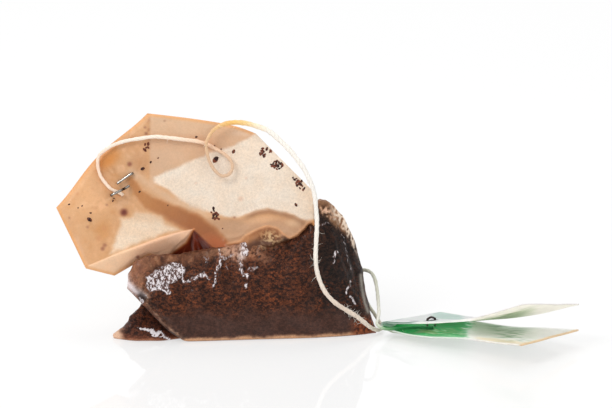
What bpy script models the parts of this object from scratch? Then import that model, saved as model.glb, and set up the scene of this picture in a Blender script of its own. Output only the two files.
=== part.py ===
"""A used double-chamber tea bag, wet, standing on its two full chambers. The empty paper head is
folded over, stapled and flopped to the left; the string loops over it and runs to a folded tag.

+X runs along the bag to the tag, +Y away from the side where the tag's near corner points, +Z up.
The origin is at the bottom centre of the paper bag. Sizes below are in millimetres."""

import math

import bmesh
import bpy
import numpy as np

MM = 0.001

# The paper, thicker than the real 0.1 mm so that it stays a sound solid.
WALL = 0.35
TEA_GAP = 0.5
TEA_FILL = 0.88  # how high the tea stands in its chamber

# The head: a flattened tube of paper, measured along (towards its folded top) and across.
HEAD_THICKNESS = 1.1
HEAD_GAP = 0.36
HEAD_LEAN = math.radians(15)  # its own plane leans back from the vertical
HEAD_TURN = math.radians(45.9)  # and its top edge climbs to the right
HEAD_ORIGIN = (-18.3, 29.4)  # the middle of the staple, across and up in that plane
HEAD_DEPTH = -3.6  # the plane's distance behind the bag's axis
TOP_FOLD = 6.4  # from the staple up to the folded top edge
TOP_HALF = 13.3  # half the folded edge
NECK_SWELL = 2.8  # how much thicker the gathered neck gets behind
NECK_SWELL_IN_FRONT = 0.4  # the share of that in front
FLAP_LENGTH = 10.0
FLAP_END_HALF = 6.8
FLAP_THICKNESS = 1.1
VALLEY_WIDTH = 1.6
RIGHT_WING_SLOPE = math.tan(math.radians(7))
LEFT_WING_SLOPES = (math.tan(math.radians(5)), math.tan(math.radians(27)))  # at the fold, lower down
LEFT_WING_TURN = 18.0  # the length along which the first becomes the second
CREASE_FROM = (-8.3, -12.3)  # the sharp crease under the left wing
CREASE_TO = (-16.0, 3.0)
CREASE_SLOPE = 1.1
CREASE_FADE = (-3.0, 3.0)  # across the head, from full to nothing

# The chambers' half section: share of the height, share of the half width.
PILLOW = [
    (0.0, 0.90), (0.07, 0.97), (0.18, 1.0), (0.34, 0.99), (0.50, 0.92),
    (0.65, 0.79), (0.79, 0.58), (0.91, 0.34), (1.0, 0.14),
]
# Stations along X: (x, centre y, half width, bottom z, top z).
FRONT_CHAMBER = [
    (-17.5, -5.6, 0.9, 10.8, 13.0), (-15.9, -5.6, 2.2, 9.4, 14.9), (-12.1, -5.4, 3.4, 5.4, 16.6),
    (-8.2, -4.8, 4.1, 1.7, 17.8), (-4.7, -4.0, 4.5, 0.0, 18.6), (3.0, -3.0, 4.6, 0.0, 18.6),
    (10.0, -2.3, 4.6, 0.0, 19.6), (16.0, -1.9, 4.4, 0.0, 22.0), (20.5, -1.6, 4.1, 0.0, 26.6),
    (24.5, -1.3, 3.5, 0.0, 24.4), (27.6, -1.0, 2.8, 0.0, 18.0), (29.4, -0.9, 2.1, 0.0, 10.4),
    (30.5, -0.9, 1.3, 0.0, 4.8), (31.7, -0.8, 0.5, 0.0, 0.9),
]
REAR_CHAMBER = [
    (-20.3, -4.5, 0.5, 0.0, 0.8), (-18.3, -3.6, 1.8, 0.0, 2.4), (-16.3, -2.3, 2.8, 0.0, 4.8),
    (-14.0, -0.4, 3.5, 0.0, 7.0), (-9.0, 3.6, 4.4, 0.0, 11.2), (-3.0, 6.2, 4.7, 0.0, 15.2),
    (4.0, 7.4, 4.8, 0.0, 18.4), (12.0, 8.0, 4.7, 0.0, 19.6), (18.0, 8.2, 4.3, 0.0, 20.6),
    (22.5, 8.0, 3.3, 0.0, 17.0), (24.8, 7.6, 2.0, 0.0, 9.4), (26.2, 7.4, 0.7, 0.0, 2.4),
]
FRONT_LEAN = 2.2  # how far each ridge leans towards the other chamber
REAR_LEAN = -6.4
FULL_HEIGHT = 15.0  # a lower section leans less
GATHER = 0.32  # depth of the gathers below the ridges
GATHER_PITCH = 5.2
GATHER_FROM = 2.5  # half width from which a section has gathers
THINNEST = 0.12  # half width that a section keeps at its ridge

# Staple wire through the head, and its bent legs, as (along, across, in front of the paper).
WIRE = 0.5
LOW_LEG = [(0.2, -3.4, 1.1), (0.1, -3.1, 2.0), (-0.2, -2.3, 2.25), (-0.5, -1.4, 2.15),
           (-0.8, -0.5, 1.2), (-1.05, 0.5, 0.65)]
HIGH_LEG = [(0.24, 2.6, 0.5), (0.35, 2.35, 0.75), (0.6, 1.2, 0.78), (1.0, -1.0, 0.65)]
HOLE = 1.1

# The tag: a folded card. Its fold is at the left, its leaves open to the right.
CARD = 0.3
TAG_CORNER = (32.8, -4.6)
TAG_TURN = math.radians(-38)
TAG_LENGTH = 34.2
TAG_WIDTH = 19.5
TAG_FOLD = 0.95  # how far the fold reaches before the leaves run straight
# Heights of each leaf along its near and its far edge: (share of the length from the fold, height).
LOWER_NEAR = [(0.0, 1.3), (0.25, 1.45), (0.7, 3.2), (1.0, 4.7)]
LOWER_FAR = [(0.0, 0.25), (0.3, 0.4), (0.5, 0.8), (0.77, 2.0), (1.0, 2.8)]
UPPER_NEAR = [(0.0, 3.15), (0.14, 3.8), (0.39, 5.5), (0.63, 7.3), (0.82, 9.4), (1.0, 12.0)]
UPPER_FAR = [(0.0, 1.5), (0.17, 1.75), (0.35, 2.4), (0.615, 4.2), (1.0, 7.8)]

# The tag's staple, from the fold and from the near edge.
TAG_WIRE = 0.4
TAG_STAPLE_AT = (7.6, 5.0)
TAG_STAPLE_HALF = 1.7
TAG_STAPLE_LIFT = 0.25  # its wire's distance from the card, above and below
TAG_HOLE = 1.0

STRING = 1.0
STRING_SPACING = 1.95
# The string's route, from under the head's staple to the tag's staple.
STRING_ROUTE = [
    # under the low leg, round past the folded edge and along the head
    (-18.5, 2.0, 27.5), (-18.8, 2.0, 27.8), (-19.6, 2.1, 28.2), (-20.9, 2.2, 28.8), (-21.9, 2.5, 29.8),
    (-23.0, 3.1, 31.3), (-23.5, 3.7, 33.2), (-23.3, 4.2, 35.0), (-21.9, 4.4, 36.3), (-20.2, 4.4, 37.3),
    (-17.7, 4.4, 38.1), (-15.1, 4.2, 38.6), (-12.3, 4.1, 39.0), (-9.7, 3.8, 38.9), (-6.7, 3.5, 38.6),
    (-3.9, 3.2, 38.3),
    # the small ring, which comes back over itself
    (-1.9, 3.0, 37.8), (-0.1, 2.7, 36.9), (1.7, 2.3, 35.9), (3.0, 1.9, 34.6), (3.3, 1.4, 33.2),
    (2.5, 1.1, 32.0), (1.1, 1.0, 31.8), (-0.2, 1.1, 32.9), (-1.2, 1.2, 34.6), (-1.7, 1.3, 36.5),
    (-1.9, 1.5, 38.1), (-1.4, 1.9, 39.5),
    # over the head's right edge and down in front of the chamber
    (-0.3, 2.4, 40.9), (1.3, 2.6, 41.8), (3.3, 2.5, 42.3), (5.5, 2.2, 42.3), (7.6, 1.8, 41.9),
    (10.5, 1.2, 40.9), (13.1, 0.5, 38.8), (14.8, -0.1, 37.2), (16.3, -0.8, 35.4), (17.7, -1.5, 33.5),
    (19.5, -2.7, 29.7), (20.2, -4.0, 25.5), (20.3, -5.0, 22.9), (20.0, -6.0, 20.2), (19.8, -6.8, 17.2),
    (20.0, -7.2, 14.8), (20.7, -7.3, 12.3), (21.8, -7.2, 10.0), (23.5, -6.9, 8.0), (25.5, -6.3, 6.4),
    (27.8, -5.7, 4.8), (29.4, -5.0, 3.3),
    # round the chamber's tip on the table and up into the loop that stands behind it
    (30.8, -4.1, 1.9), (32.0, -3.0, 1.1), (32.8, -1.5, 0.8), (33.1, 0.2, 0.8), (32.7, 1.9, 1.2),
    (31.8, 3.3, 2.3), (30.6, 4.2, 3.9), (29.4, 4.6, 6.0), (28.6, 4.8, 8.1), (28.4, 4.7, 10.1),
    (28.9, 4.5, 11.2), (29.9, 3.9, 11.5), (31.0, 3.2, 11.1), (31.7, 2.2, 10.0), (32.1, 1.1, 8.2),
    (32.3, 0.1, 6.4), (32.4, -1.0, 5.1), (32.4, -2.3, 4.2),
    # down past the tag's near corner and between its leaves to the staple
    (32.2, -3.6, 3.5), (32.0, -4.8, 3.0), (32.5, -5.9, 2.6), (33.6, -6.5, 2.35), (35.0, -6.3, 2.3),
    (36.6, -5.9, 2.25), (38.6, -5.6, 2.25), (40.6, -5.4, 2.25), (42.4, -5.5, 2.3), (43.2, -5.7, 2.35),
]


def smooth(x, stations):
    """A monotone cubic through the stations, which are (x, value) pairs."""
    xs, ys = (np.array(v, float) for v in zip(*stations))
    step = np.diff(xs)
    slope = np.diff(ys) / step
    inner = [0.0 if a * b <= 0 else 2 * a * b / (a + b) for a, b in zip(slope, slope[1:])]
    tangent = np.array([slope[0], *inner, slope[-1]])
    i = int(np.clip(np.searchsorted(xs, x) - 1, 0, len(xs) - 2))
    t = (x - xs[i]) / step[i]
    return float(
        (1 + 2 * t) * (1 - t) ** 2 * ys[i] + t * (1 - t) ** 2 * step[i] * tangent[i]
        + t * t * (3 - 2 * t) * ys[i + 1] + t * t * (t - 1) * step[i] * tangent[i + 1]
    )


def material(name, colour, roughness, metallic=0.0):
    made = bpy.data.materials.new(name)
    made.use_nodes = True
    shader = made.node_tree.nodes["Principled BSDF"]
    shader.inputs["Base Color"].default_value = (*colour, 1.0)
    shader.inputs["Roughness"].default_value = roughness
    shader.inputs["Metallic"].default_value = metallic
    return made


def mesh_object(name, points, faces, collection, paint):
    """A mesh from points in millimetres."""
    mesh = bpy.data.meshes.new(name)
    mesh.from_pydata([tuple(c * MM for c in p) for p in points], [], faces)
    shell = bmesh.new()
    shell.from_mesh(mesh)
    bmesh.ops.recalc_face_normals(shell, faces=shell.faces)
    shell.to_mesh(mesh)
    shell.free()
    made = bpy.data.objects.new(name, mesh)
    made.data.materials.append(paint)
    collection.objects.link(made)
    return made


def loft(name, rings, collection, paint):
    """A closed solid through rings of equal length, wound so that its faces point out."""
    count = len(rings[0])
    points = [p for ring in rings for p in ring]
    faces = [
        (r * count + i, r * count + (i + 1) % count, (r + 1) * count + (i + 1) % count,
         (r + 1) * count + i)
        for r in range(len(rings) - 1)
        for i in range(count)
    ]
    faces.append(tuple(range(count))[::-1])
    faces.append(tuple(len(points) - count + i for i in range(count)))
    return mesh_object(name, points, faces, collection, paint)


def chamber_ring(x, stations, lean, inset, fill):
    """The pillow's section at x, drawn in by inset all round and filled to that share of its height."""
    centre, half, bottom, top = (smooth(x, [(s[0], s[k]) for s in stations]) for k in (1, 2, 3, 4))
    height = top - bottom
    ring = []
    for side, profile in ((1, PILLOW), (-1, PILLOW[::-1])):
        for share, width in profile:
            z = bottom + inset + share * fill * (height - 2.2 * inset)
            gather = GATHER * share ** 2 * math.sin(2 * math.pi * x / GATHER_PITCH + side)
            side_inset = inset * (0.55 if share == 1 else 1.0)
            reach = max(width * half - side_inset, THINNEST) + gather * (half > GATHER_FROM)
            bend = lean * min(1.0, height / FULL_HEIGHT) * ((z - bottom) / height) ** 2
            ring.append((x, centre + bend + side * max(reach, THINNEST), z))
    return ring


def chamber(name, stations, lean, inset, trim, count, collection, paint, fill=1.0):
    """One chamber as a loft along X, from trim after its left tip to trim before its right one."""
    left, right = stations[0][0] + trim, stations[-1][0] - trim
    rings = [chamber_ring(x, stations, lean, inset, fill) for x in np.linspace(left, right, count)]
    return loft(name, rings, collection, paint)


def head_depth(along, across):
    """How far the head's middle surface lies behind its plane."""
    away = math.sqrt(across ** 2 + VALLEY_WIDTH ** 2) - VALLEY_WIDTH
    if across > 0:
        depth = -away * RIGHT_WING_SLOPE
    else:
        share = min(max((TOP_FOLD - along) / LEFT_WING_TURN, 0), 1)
        flat, steep = LEFT_WING_SLOPES
        depth = -away * (flat + (steep - flat) * share)
    run = (CREASE_TO[0] - CREASE_FROM[0], CREASE_TO[1] - CREASE_FROM[1])
    long = math.hypot(*run)
    past = (-(along - CREASE_FROM[0]) * run[1] + (across - CREASE_FROM[1]) * run[0]) / long
    full, nothing = CREASE_FADE
    fade = min(max((nothing - across) / (nothing - full), 0), 1)
    return depth + CREASE_SLOPE * fade * max(past, 0)


def head_point(along, across, behind=0.0):
    """A point of the head, in the bag's frame, that far behind its middle surface."""
    turn = (math.cos(HEAD_TURN), math.sin(HEAD_TURN))
    u = HEAD_ORIGIN[0] + across * turn[0] - along * turn[1]
    v = HEAD_ORIGIN[1] + across * turn[1] + along * turn[0]
    c = HEAD_DEPTH + head_depth(along, across) + behind
    return (
        u,
        v * math.sin(HEAD_LEAN) + c * math.cos(HEAD_LEAN),
        v * math.cos(HEAD_LEAN) - c * math.sin(HEAD_LEAN),
    )


def head_slab(name, rows, steps, columns, front, back, collection, paint, swell=0.0):
    """A slab that follows the head: rows of (left, right) ends, each (along, across), with steps
    between them, from front to back, both measured behind the middle surface. It swells by swell
    behind, and less in front, over its last rows, where the paper is gathered into the neck."""
    lines = []
    for (a, b), count in zip(zip(rows, rows[1:]), steps):
        for i in range(count):
            t = i / count
            lines.append([[(1 - t) * p[k] + t * q[k] for k in (0, 1)] for p, q in zip(a, b)])
    lines.append(rows[-1])
    grid = [
        [tuple((1 - t) * left[k] + t * right[k] for k in (0, 1)) for t in np.linspace(0, 1, columns)]
        for left, right in lines
    ]
    neck = sum(steps[:-1])
    thick = [swell * max(0, i - neck) / steps[-1] for i in range(len(grid))]
    rings = [
        [head_point(*p, front - NECK_SWELL_IN_FRONT * more) for p in line]
        + [head_point(*p, back + more) for p in line[::-1]]
        for line, more in zip(grid, thick)
    ]
    count, wide = len(rings[0]), columns
    points = [p for ring in rings for p in ring]
    faces = [
        (r * count + i, (r + 1) * count + i, (r + 1) * count + (i + 1) % count,
         r * count + (i + 1) % count)
        for r in range(len(rings) - 1)
        for i in range(count)
    ]
    last = len(points) - count
    for i in range(wide - 1):
        faces.append((i, i + 1, count - 2 - i, count - 1 - i))
        faces.append((last + i + 1, last + i, last + count - 1 - i, last + count - 2 - i))
    return mesh_object(name, points, faces, collection, paint)


def cut(target, cutter, operation="DIFFERENCE"):
    step = target.modifiers.new(cutter.name, "BOOLEAN")
    step.operation = operation
    step.object = cutter
    step.solver = "MANIFOLD"


def wire(name, points, thickness, collection, paint, sides=2):
    """A round wire through points in millimetres."""
    curve = bpy.data.curves.new(name, "CURVE")
    curve.dimensions = "3D"
    curve.bevel_depth = thickness / 2 * MM
    curve.bevel_resolution = sides
    curve.use_fill_caps = True
    spline = curve.splines.new("POLY")
    spline.points.add(len(points) - 1)
    for point, place in zip(spline.points, points):
        point.co = (*(c * MM for c in place), 1.0)
    made = bpy.data.objects.new(name, curve)
    made.data.materials.append(paint)
    collection.objects.link(made)
    return made


def head_rows(inset, mouth, top):
    """The head's outline as rows from its folded top down into the neck, drawn in by inset."""
    return [
        ((top, -TOP_HALF + 0.5 + inset), (top, TOP_HALF - inset)),
        ((-6.4, -17.2 + inset), (-6.4, 21.8 - inset)),
        ((-11.4 + 0.3 * inset, -14.4 + inset), (-11.9, 25.4 - inset)),
        ((-13.6 + 0.5 * inset, -6.7 + inset), (-28.0, 25.1 - inset)),
        ((-18.8 + mouth, -6.0 + inset), (-37.5 + mouth, 16.3 - inset)),
    ]


def flap_rows(inset, top, mouth):
    """The folded-over flap, narrowing from the folded edge to its mouth."""
    start, end = TOP_FOLD - top, TOP_FOLD - FLAP_LENGTH - mouth
    return [
        ((start, -TOP_HALF + 1.0 + inset), (start, TOP_HALF - 0.5 - inset)),
        ((end, -FLAP_END_HALF + inset), (end, FLAP_END_HALF - inset)),
    ]


def as_mesh(curve, collection):
    """A wire as a mesh with its caps welded, which a Boolean can take."""
    ready = curve.evaluated_get(bpy.context.evaluated_depsgraph_get())
    mesh = bpy.data.meshes.new_from_object(ready)
    shell = bmesh.new()
    shell.from_mesh(mesh)
    bmesh.ops.remove_doubles(shell, verts=shell.verts, dist=1e-6)
    shell.to_mesh(mesh)
    shell.free()
    made = bpy.data.objects.new(curve.name, mesh)
    made.matrix_world = curve.matrix_world
    collection.objects.link(made)
    bpy.data.objects.remove(curve, do_unlink=True)
    return made


def head_staple(collection, paint):
    """One wire: a bent leg in front, the crown behind the flap, and the other bent leg."""
    front = -HEAD_THICKNESS / 2
    back = HEAD_THICKNESS / 2 + FLAP_THICKNESS + 0.3 + WIRE / 2
    low = [head_point(a, c, front - lift) for a, c, lift in LOW_LEG[::-1]]
    high = [head_point(a, c, front - lift) for a, c, lift in HIGH_LEG]
    entry_low, entry_high = LOW_LEG[0][1], HIGH_LEG[0][1]
    crown = [head_point(0.2, entry_low, back - 0.3), head_point(0.2, entry_low + 0.3, back),
             head_point(0.2, (entry_low + entry_high) / 2, back),
             head_point(0.2, entry_high - 0.3, back), head_point(0.2, entry_high, back - 0.3)]
    return wire("head_staple", [*low, *crown, *high], WIRE, collection, paint)


def through(route, spacing):
    """Evenly spaced points on a smooth curve through the route's own points."""
    route = [np.array(p) for p in route]
    ends = [2 * route[0] - route[1], *route, 2 * route[-1] - route[-2]]
    fine = []
    for a, b, c, d in zip(ends, ends[1:], ends[2:], ends[3:]):
        for t in np.linspace(0, 1, 12, endpoint=False):
            fine.append(0.5 * (2 * b + (c - a) * t + (2 * a - 5 * b + 4 * c - d) * t ** 2
                               + (3 * b - a - 3 * c + d) * t ** 3))
    fine.append(route[-1])
    fine = np.array(fine)
    along = np.concatenate([[0], np.cumsum(np.linalg.norm(np.diff(fine, axis=0), axis=1))])
    at = np.linspace(0, along[-1], round(along[-1] / spacing) + 1)
    return [tuple(float(np.interp(x, along, fine[:, k])) for k in range(3)) for x in at]


def tag_leaf(from_fold, from_edge, near, far):
    """The height of a leaf whose two edges have these heights."""
    share = from_fold / TAG_LENGTH
    across = from_edge / TAG_WIDTH
    return (1 - across) * smooth(share, near) + across * smooth(share, far)


def tag_point(from_fold, from_edge, height):
    """A point over the tag's plan: from its fold and from its near edge, at a height above the table."""
    turn = (math.cos(TAG_TURN), math.sin(TAG_TURN))
    return (
        TAG_CORNER[0] + from_fold * turn[0] - from_edge * turn[1],
        TAG_CORNER[1] + from_fold * turn[1] + from_edge * turn[0],
        height,
    )


def tag_profile(from_edge):
    """The folded card from the side, as (from the fold, height)."""
    leaf = np.linspace(TAG_LENGTH, TAG_FOLD, 11)
    lower = [(x, tag_leaf(x, from_edge, LOWER_NEAR, LOWER_FAR)) for x in leaf]
    upper = [(x, tag_leaf(x, from_edge, UPPER_NEAR, UPPER_FAR)) for x in leaf[::-1]]
    bottom, top = lower[-1][1], upper[0][1]
    fold = [
        (TAG_FOLD * (1 - math.cos(a)), (bottom + top) / 2 + (top - bottom) / 2 * math.sin(a))
        for a in (math.radians(d) for d in (-60, -30, 0, 30, 60))
    ]
    return lower + fold + upper


def folded_tag(collection, paint):
    across = np.linspace(0, TAG_WIDTH, 8)
    wide = len(across)
    profiles = [tag_profile(y) for y in across]
    points = [tag_point(x, y, z) for row in zip(*profiles) for (x, z), y in zip(row, across)]
    faces = [
        (r * wide + i, r * wide + i + 1, (r + 1) * wide + i + 1, (r + 1) * wide + i)
        for r in range(len(profiles[0]) - 1)
        for i in range(wide - 1)
    ]
    tag = mesh_object("tag", points, faces, collection, paint)
    skin = tag.modifiers.new("card", "SOLIDIFY")
    skin.thickness = CARD * MM
    skin.offset = 0
    return tag


def tag_staple(collection, paint):
    """Its crown lies on the upper leaf, its legs pass either side of the string and close below."""
    x, y = TAG_STAPLE_AT
    half = TAG_STAPLE_HALF
    off = CARD / 2 + TAG_STAPLE_LIFT + TAG_WIRE / 2
    bend = 0.25  # how far a corner is cut

    def over(edge):
        return tag_leaf(x, edge, UPPER_NEAR, UPPER_FAR) + off

    def below(edge):
        return tag_leaf(x, edge, LOWER_NEAR, LOWER_FAR) - off

    near, far = y - half, y + half
    route = [
        tag_point(x + 0.5, y - 0.4, below(y - 0.4)), tag_point(x, near + bend, below(near + bend)),
        tag_point(x, near, below(near) + bend), tag_point(x, near, over(near) - bend),
        tag_point(x, near + bend, over(near + bend)), tag_point(x, far - bend, over(far - bend)),
        tag_point(x, far, over(far) - bend), tag_point(x, far, below(far) + bend),
        tag_point(x, far - bend, below(far - bend)), tag_point(x - 0.5, y + 0.4, below(y + 0.4)),
    ]
    return wire("tag_staple", route, TAG_WIRE, collection, paint)


def rest_on_origin(collections, bag):
    """Moves everything so that the bag's bounding box stands centred on the origin."""
    ready = bag.evaluated_get(bpy.context.evaluated_depsgraph_get())
    places = np.array([tuple(v.co) for v in ready.data.vertices])
    middle = (places.min(axis=0) + places.max(axis=0)) / 2
    for collection in collections:
        for piece in collection.objects:
            piece.location.x -= middle[0]
            piece.location.y -= middle[1]
    print("moved by", [round(float(-c) / MM, 3) for c in middle[:2]], "mm")


def build():
    for old in list(bpy.data.objects):
        bpy.data.objects.remove(old, do_unlink=True)
    parts = bpy.data.collections.new("used_tea_bag")
    cutters = bpy.data.collections.new("cutters")
    for collection in (parts, cutters):
        bpy.context.scene.collection.children.link(collection)

    paper = material("wet_filter_paper", (0.72, 0.50, 0.33), 0.5)
    tea = material("wet_tea_leaf", (0.06, 0.028, 0.016), 0.5)
    steel = material("staple_steel", (0.7, 0.7, 0.72), 0.25, 1.0)
    cotton = material("cotton_string", (0.83, 0.80, 0.72), 0.9)
    card = material("tag_card", (0.85, 0.88, 0.85), 0.45)

    bag = chamber("filter_paper_bag", FRONT_CHAMBER, FRONT_LEAN, 0, 0, 37, parts, paper)
    joined = [
        chamber("rear_chamber", REAR_CHAMBER, REAR_LEAN, 0, 0, 32, cutters, paper),
        head_slab("head", head_rows(0, 0, TOP_FOLD), (5, 3, 5, 5), 24,
                  -HEAD_THICKNESS / 2, HEAD_THICKNESS / 2, cutters, paper, NECK_SWELL),
    ]
    for piece in joined:
        cut(bag, piece, "UNION")
    flap = head_slab("flap", flap_rows(0, 0.15, 0), (5,), 16, HEAD_THICKNESS / 2 - 0.1,
                     HEAD_THICKNESS / 2 + FLAP_THICKNESS, cutters, paper)
    cut(bag, flap, "UNION")
    joined.append(flap)
    gap = HEAD_GAP / 2
    flap_middle = HEAD_THICKNESS / 2 + FLAP_THICKNESS / 2
    inside = TOP_FOLD - 0.5
    bend = [((along, -9), (along, 9)) for along in (inside, inside - 0.6)]
    hollows = [
        chamber("front_hollow", FRONT_CHAMBER, FRONT_LEAN, WALL, 1.6, 30, cutters, paper),
        chamber("rear_hollow", REAR_CHAMBER, REAR_LEAN, WALL, 1.8, 26, cutters, paper),
        head_slab("head_hollow", head_rows(1.4, 0.6, inside), (4, 2, 4, 4), 16,
                  -gap, gap, cutters, paper, 0.4),
        head_slab("fold_hollow", bend, (1,), 12, -gap, flap_middle + gap, cutters, paper),
        head_slab("flap_hollow", flap_rows(1.2, 0.5, 1.0), (5,), 14,
                  flap_middle - gap, flap_middle + gap, cutters, paper),
    ]
    for piece in hollows:
        cut(bag, piece)
    joined += hollows
    staple = head_staple(parts, steel)
    for across in (LOW_LEG[0][1], HIGH_LEG[0][1]):
        ends = [head_point(0.2, across, behind) for behind in (-2.5, 4.0)]
        hole = as_mesh(wire("staple_hole", ends, HOLE, cutters, paper), cutters)
        cut(bag, hole)
        joined.append(hole)
    chamber("front_tea_charge", FRONT_CHAMBER, FRONT_LEAN, WALL + TEA_GAP, 3.0, 24, parts, tea, TEA_FILL)
    chamber("rear_tea_charge", REAR_CHAMBER, REAR_LEAN, WALL + TEA_GAP, 3.2, 22, parts, tea, TEA_FILL)
    wire("string", through(STRING_ROUTE, STRING_SPACING), STRING, parts, cotton)
    tag = folded_tag(parts, card)
    tag_staple(parts, steel)
    x, y = TAG_STAPLE_AT
    for side in (-1, 1):
        ends = [tag_point(x, y + side * TAG_STAPLE_HALF, height) for height in (-1, 7)]
        hole = as_mesh(wire("tag_hole", ends, TAG_HOLE, cutters, card), cutters)
        cut(tag, hole)
        joined.append(hole)
    for piece in joined:
        piece.hide_render = True
        piece.display_type = "WIRE"
    rest_on_origin((parts, cutters), bag)


build()
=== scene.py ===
# %% [markdown]
# # A used tea bag
# A double-chamber tea bag, just out of the cup. Two wet chambers full of leaves stand on the table,
# the empty paper head above them is folded, stapled and flopped to the left, and a cotton string
# loops over it and runs to a folded card tag. The first cell loads the measured model, which every
# piece below has to fit.

# %% Load the frame
import math

import bmesh
import bpy
import numpy as np
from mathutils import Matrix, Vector, noise
from mathutils.bvhtree import BVHTree


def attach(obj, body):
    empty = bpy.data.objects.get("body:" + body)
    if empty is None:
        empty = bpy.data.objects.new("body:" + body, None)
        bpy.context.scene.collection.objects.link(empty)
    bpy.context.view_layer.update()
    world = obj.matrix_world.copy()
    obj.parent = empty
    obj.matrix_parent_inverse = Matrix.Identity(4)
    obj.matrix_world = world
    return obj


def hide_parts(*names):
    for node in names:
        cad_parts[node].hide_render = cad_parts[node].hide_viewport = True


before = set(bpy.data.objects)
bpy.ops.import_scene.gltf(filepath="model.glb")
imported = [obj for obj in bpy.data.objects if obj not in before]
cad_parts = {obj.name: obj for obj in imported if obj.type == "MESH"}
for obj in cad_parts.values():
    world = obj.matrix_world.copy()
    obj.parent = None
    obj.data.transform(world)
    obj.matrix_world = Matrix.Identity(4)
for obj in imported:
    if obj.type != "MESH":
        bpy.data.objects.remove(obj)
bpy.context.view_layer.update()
print("nodes:", sorted(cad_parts))

# %% [markdown]
# ## Sizes and two coordinate frames
# All sizes are in millimetres, as on a drawing. The drawing's own frame is the bag's, and the
# part's origin is at the bottom centre of the bag, so a small shift takes one to the other. The
# flat head leans back, so its features are easier to place in its own plane: `u` to the right and
# `v` up.

# %% Units and helpers for points
MM = 0.001
SHIFT = np.array((0.052, -1.836, 0.0))  # from the drawing's frame to the part's
LEAN = math.radians(15)
SIN, COS = math.sin(LEAN), math.cos(LEAN)


def metres(points):
    """Points of the drawing, in the part's frame and in metres."""
    return (np.asarray(points, float) + SHIFT) * MM


def plane_of(points):
    """The (u, v) of points on the head's plane."""
    return points[:, 0], points[:, 1] * SIN + points[:, 2] * COS


def from_plane(u, v, depth):
    """Points at (u, v), that far behind the plane through the origin."""
    return np.stack([u, v * SIN + depth * COS, v * COS - depth * SIN], axis=-1)


def sheet_points(u, v):
    """The same (u, v) as points of a flat sheet, which the noise below takes."""
    return np.stack([u, v, np.zeros_like(u)], axis=1)


# %% [markdown]
# ## The camera
# A long lens from nearly a metre away keeps such a small thing free of distortion. It looks down by
# the same 15 degrees as the head leans, so it sees the head's plane square on.

# %% Camera
CAMERA_AWAY = 900.0
VIEW_WIDTH = 122.4
VIEW_MIDDLE = (17.9, 6.57, 24.5)


def stand(name, data):
    """A new object in the scene, with that camera, lamp or mesh."""
    made = bpy.data.objects.new(name, data)
    bpy.context.scene.collection.objects.link(made)
    return made


def add_camera():
    data = bpy.data.cameras.new("camera")
    data.sensor_width = 36
    data.lens = 36 * CAMERA_AWAY / VIEW_WIDTH
    data.clip_end = 10
    made = stand("camera", data)
    away = np.array((0, COS, -SIN)) * CAMERA_AWAY
    made.location = metres(np.array(VIEW_MIDDLE) - away)
    made.rotation_euler = (math.pi / 2 - LEAN, 0, 0)
    bpy.context.scene.camera = made
    print("camera lens", round(data.lens, 1), "mm")


add_camera()

# %% [markdown]
# ## Numbers that vary smoothly
# A few small helpers shape nearly everything here: a curve through given stations that never
# overshoots, soft steps between two values, and noise at a chosen scale.

# %% Curves, steps and noise
def smooth(x, stations):
    """A monotone cubic through the stations, which are (x, value) pairs, for an array x."""
    xs, ys = (np.array(v, float) for v in zip(*stations))
    step = np.diff(xs)
    slope = np.diff(ys) / step
    inner = [0.0 if a * b <= 0 else 2 * a * b / (a + b) for a, b in zip(slope, slope[1:])]
    tangent = np.array([slope[0], *inner, slope[-1]])
    x = np.clip(x, xs[0], xs[-1])
    i = np.clip(np.searchsorted(xs, x) - 1, 0, len(xs) - 2)
    t = (x - xs[i]) / step[i]
    return (
        (1 + 2 * t) * (1 - t) ** 2 * ys[i] + t * (1 - t) ** 2 * step[i] * tangent[i]
        + t * t * (3 - 2 * t) * ys[i + 1] + t * t * (t - 1) * step[i] * tangent[i + 1]
    )


def ease(x, start, end):
    """0 before start, 1 after end, and a soft step between them."""
    t = np.clip((np.asarray(x, float) - start) / (end - start), 0, 1)
    return t * t * (3 - 2 * t)


def between(x, start, full, fading, gone):
    """A soft step up between the first two values, and down again between the last two."""
    return ease(x, start, full) * (1 - ease(x, fading, gone))


def lumps(points, size, seed=0.0):
    """Noise from about -1 to 1 whose lumps are about that many millimetres wide."""
    return np.array([noise.noise(Vector(p)) for p in points / size + seed])


def mixed_lumps(points, *layers):
    """Noise of several sizes at once, from layers of (share, size, seed)."""
    return sum(share * lumps(points, size, seed) for share, size, seed in layers)


def ridges(points, size, seed=0.0):
    """Noise with sharp crests, as in crumpled paper, from 0 to 1."""
    return (1 - np.abs(lumps(points, size, seed))) ** 4


# %% [markdown]
# Creases, stains and folds lie along drawn lines or inside drawn outlines, so two more helpers
# measure how far each point is from them.

# %% Distances to drawn lines
def line_distance(u, v, line):
    """The distance of each (u, v) from a line through points, and how far along it is (0 to 1)."""
    line = np.array(line, float)
    lengths = np.linalg.norm(np.diff(line, axis=0), axis=1)
    starts = np.concatenate([[0], np.cumsum(lengths)])
    nearest = np.full(u.shape, 1e9)
    along = np.zeros(u.shape)
    for a, b, long, start in zip(line, line[1:], lengths, starts):
        t = np.clip(((u - a[0]) * (b[0] - a[0]) + (v - a[1]) * (b[1] - a[1])) / long ** 2, 0, 1)
        far = np.hypot(u - a[0] - t * (b[0] - a[0]), v - a[1] - t * (b[1] - a[1]))
        closer = far < nearest
        nearest = np.where(closer, far, nearest)
        along = np.where(closer, (start + t * long) / starts[-1], along)
    return nearest, along


def soft_line(away, width):
    """A mask that is 1 on a line, 0.37 at that width from it and then soon nothing."""
    return np.exp(-(away / width) ** 2)


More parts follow.
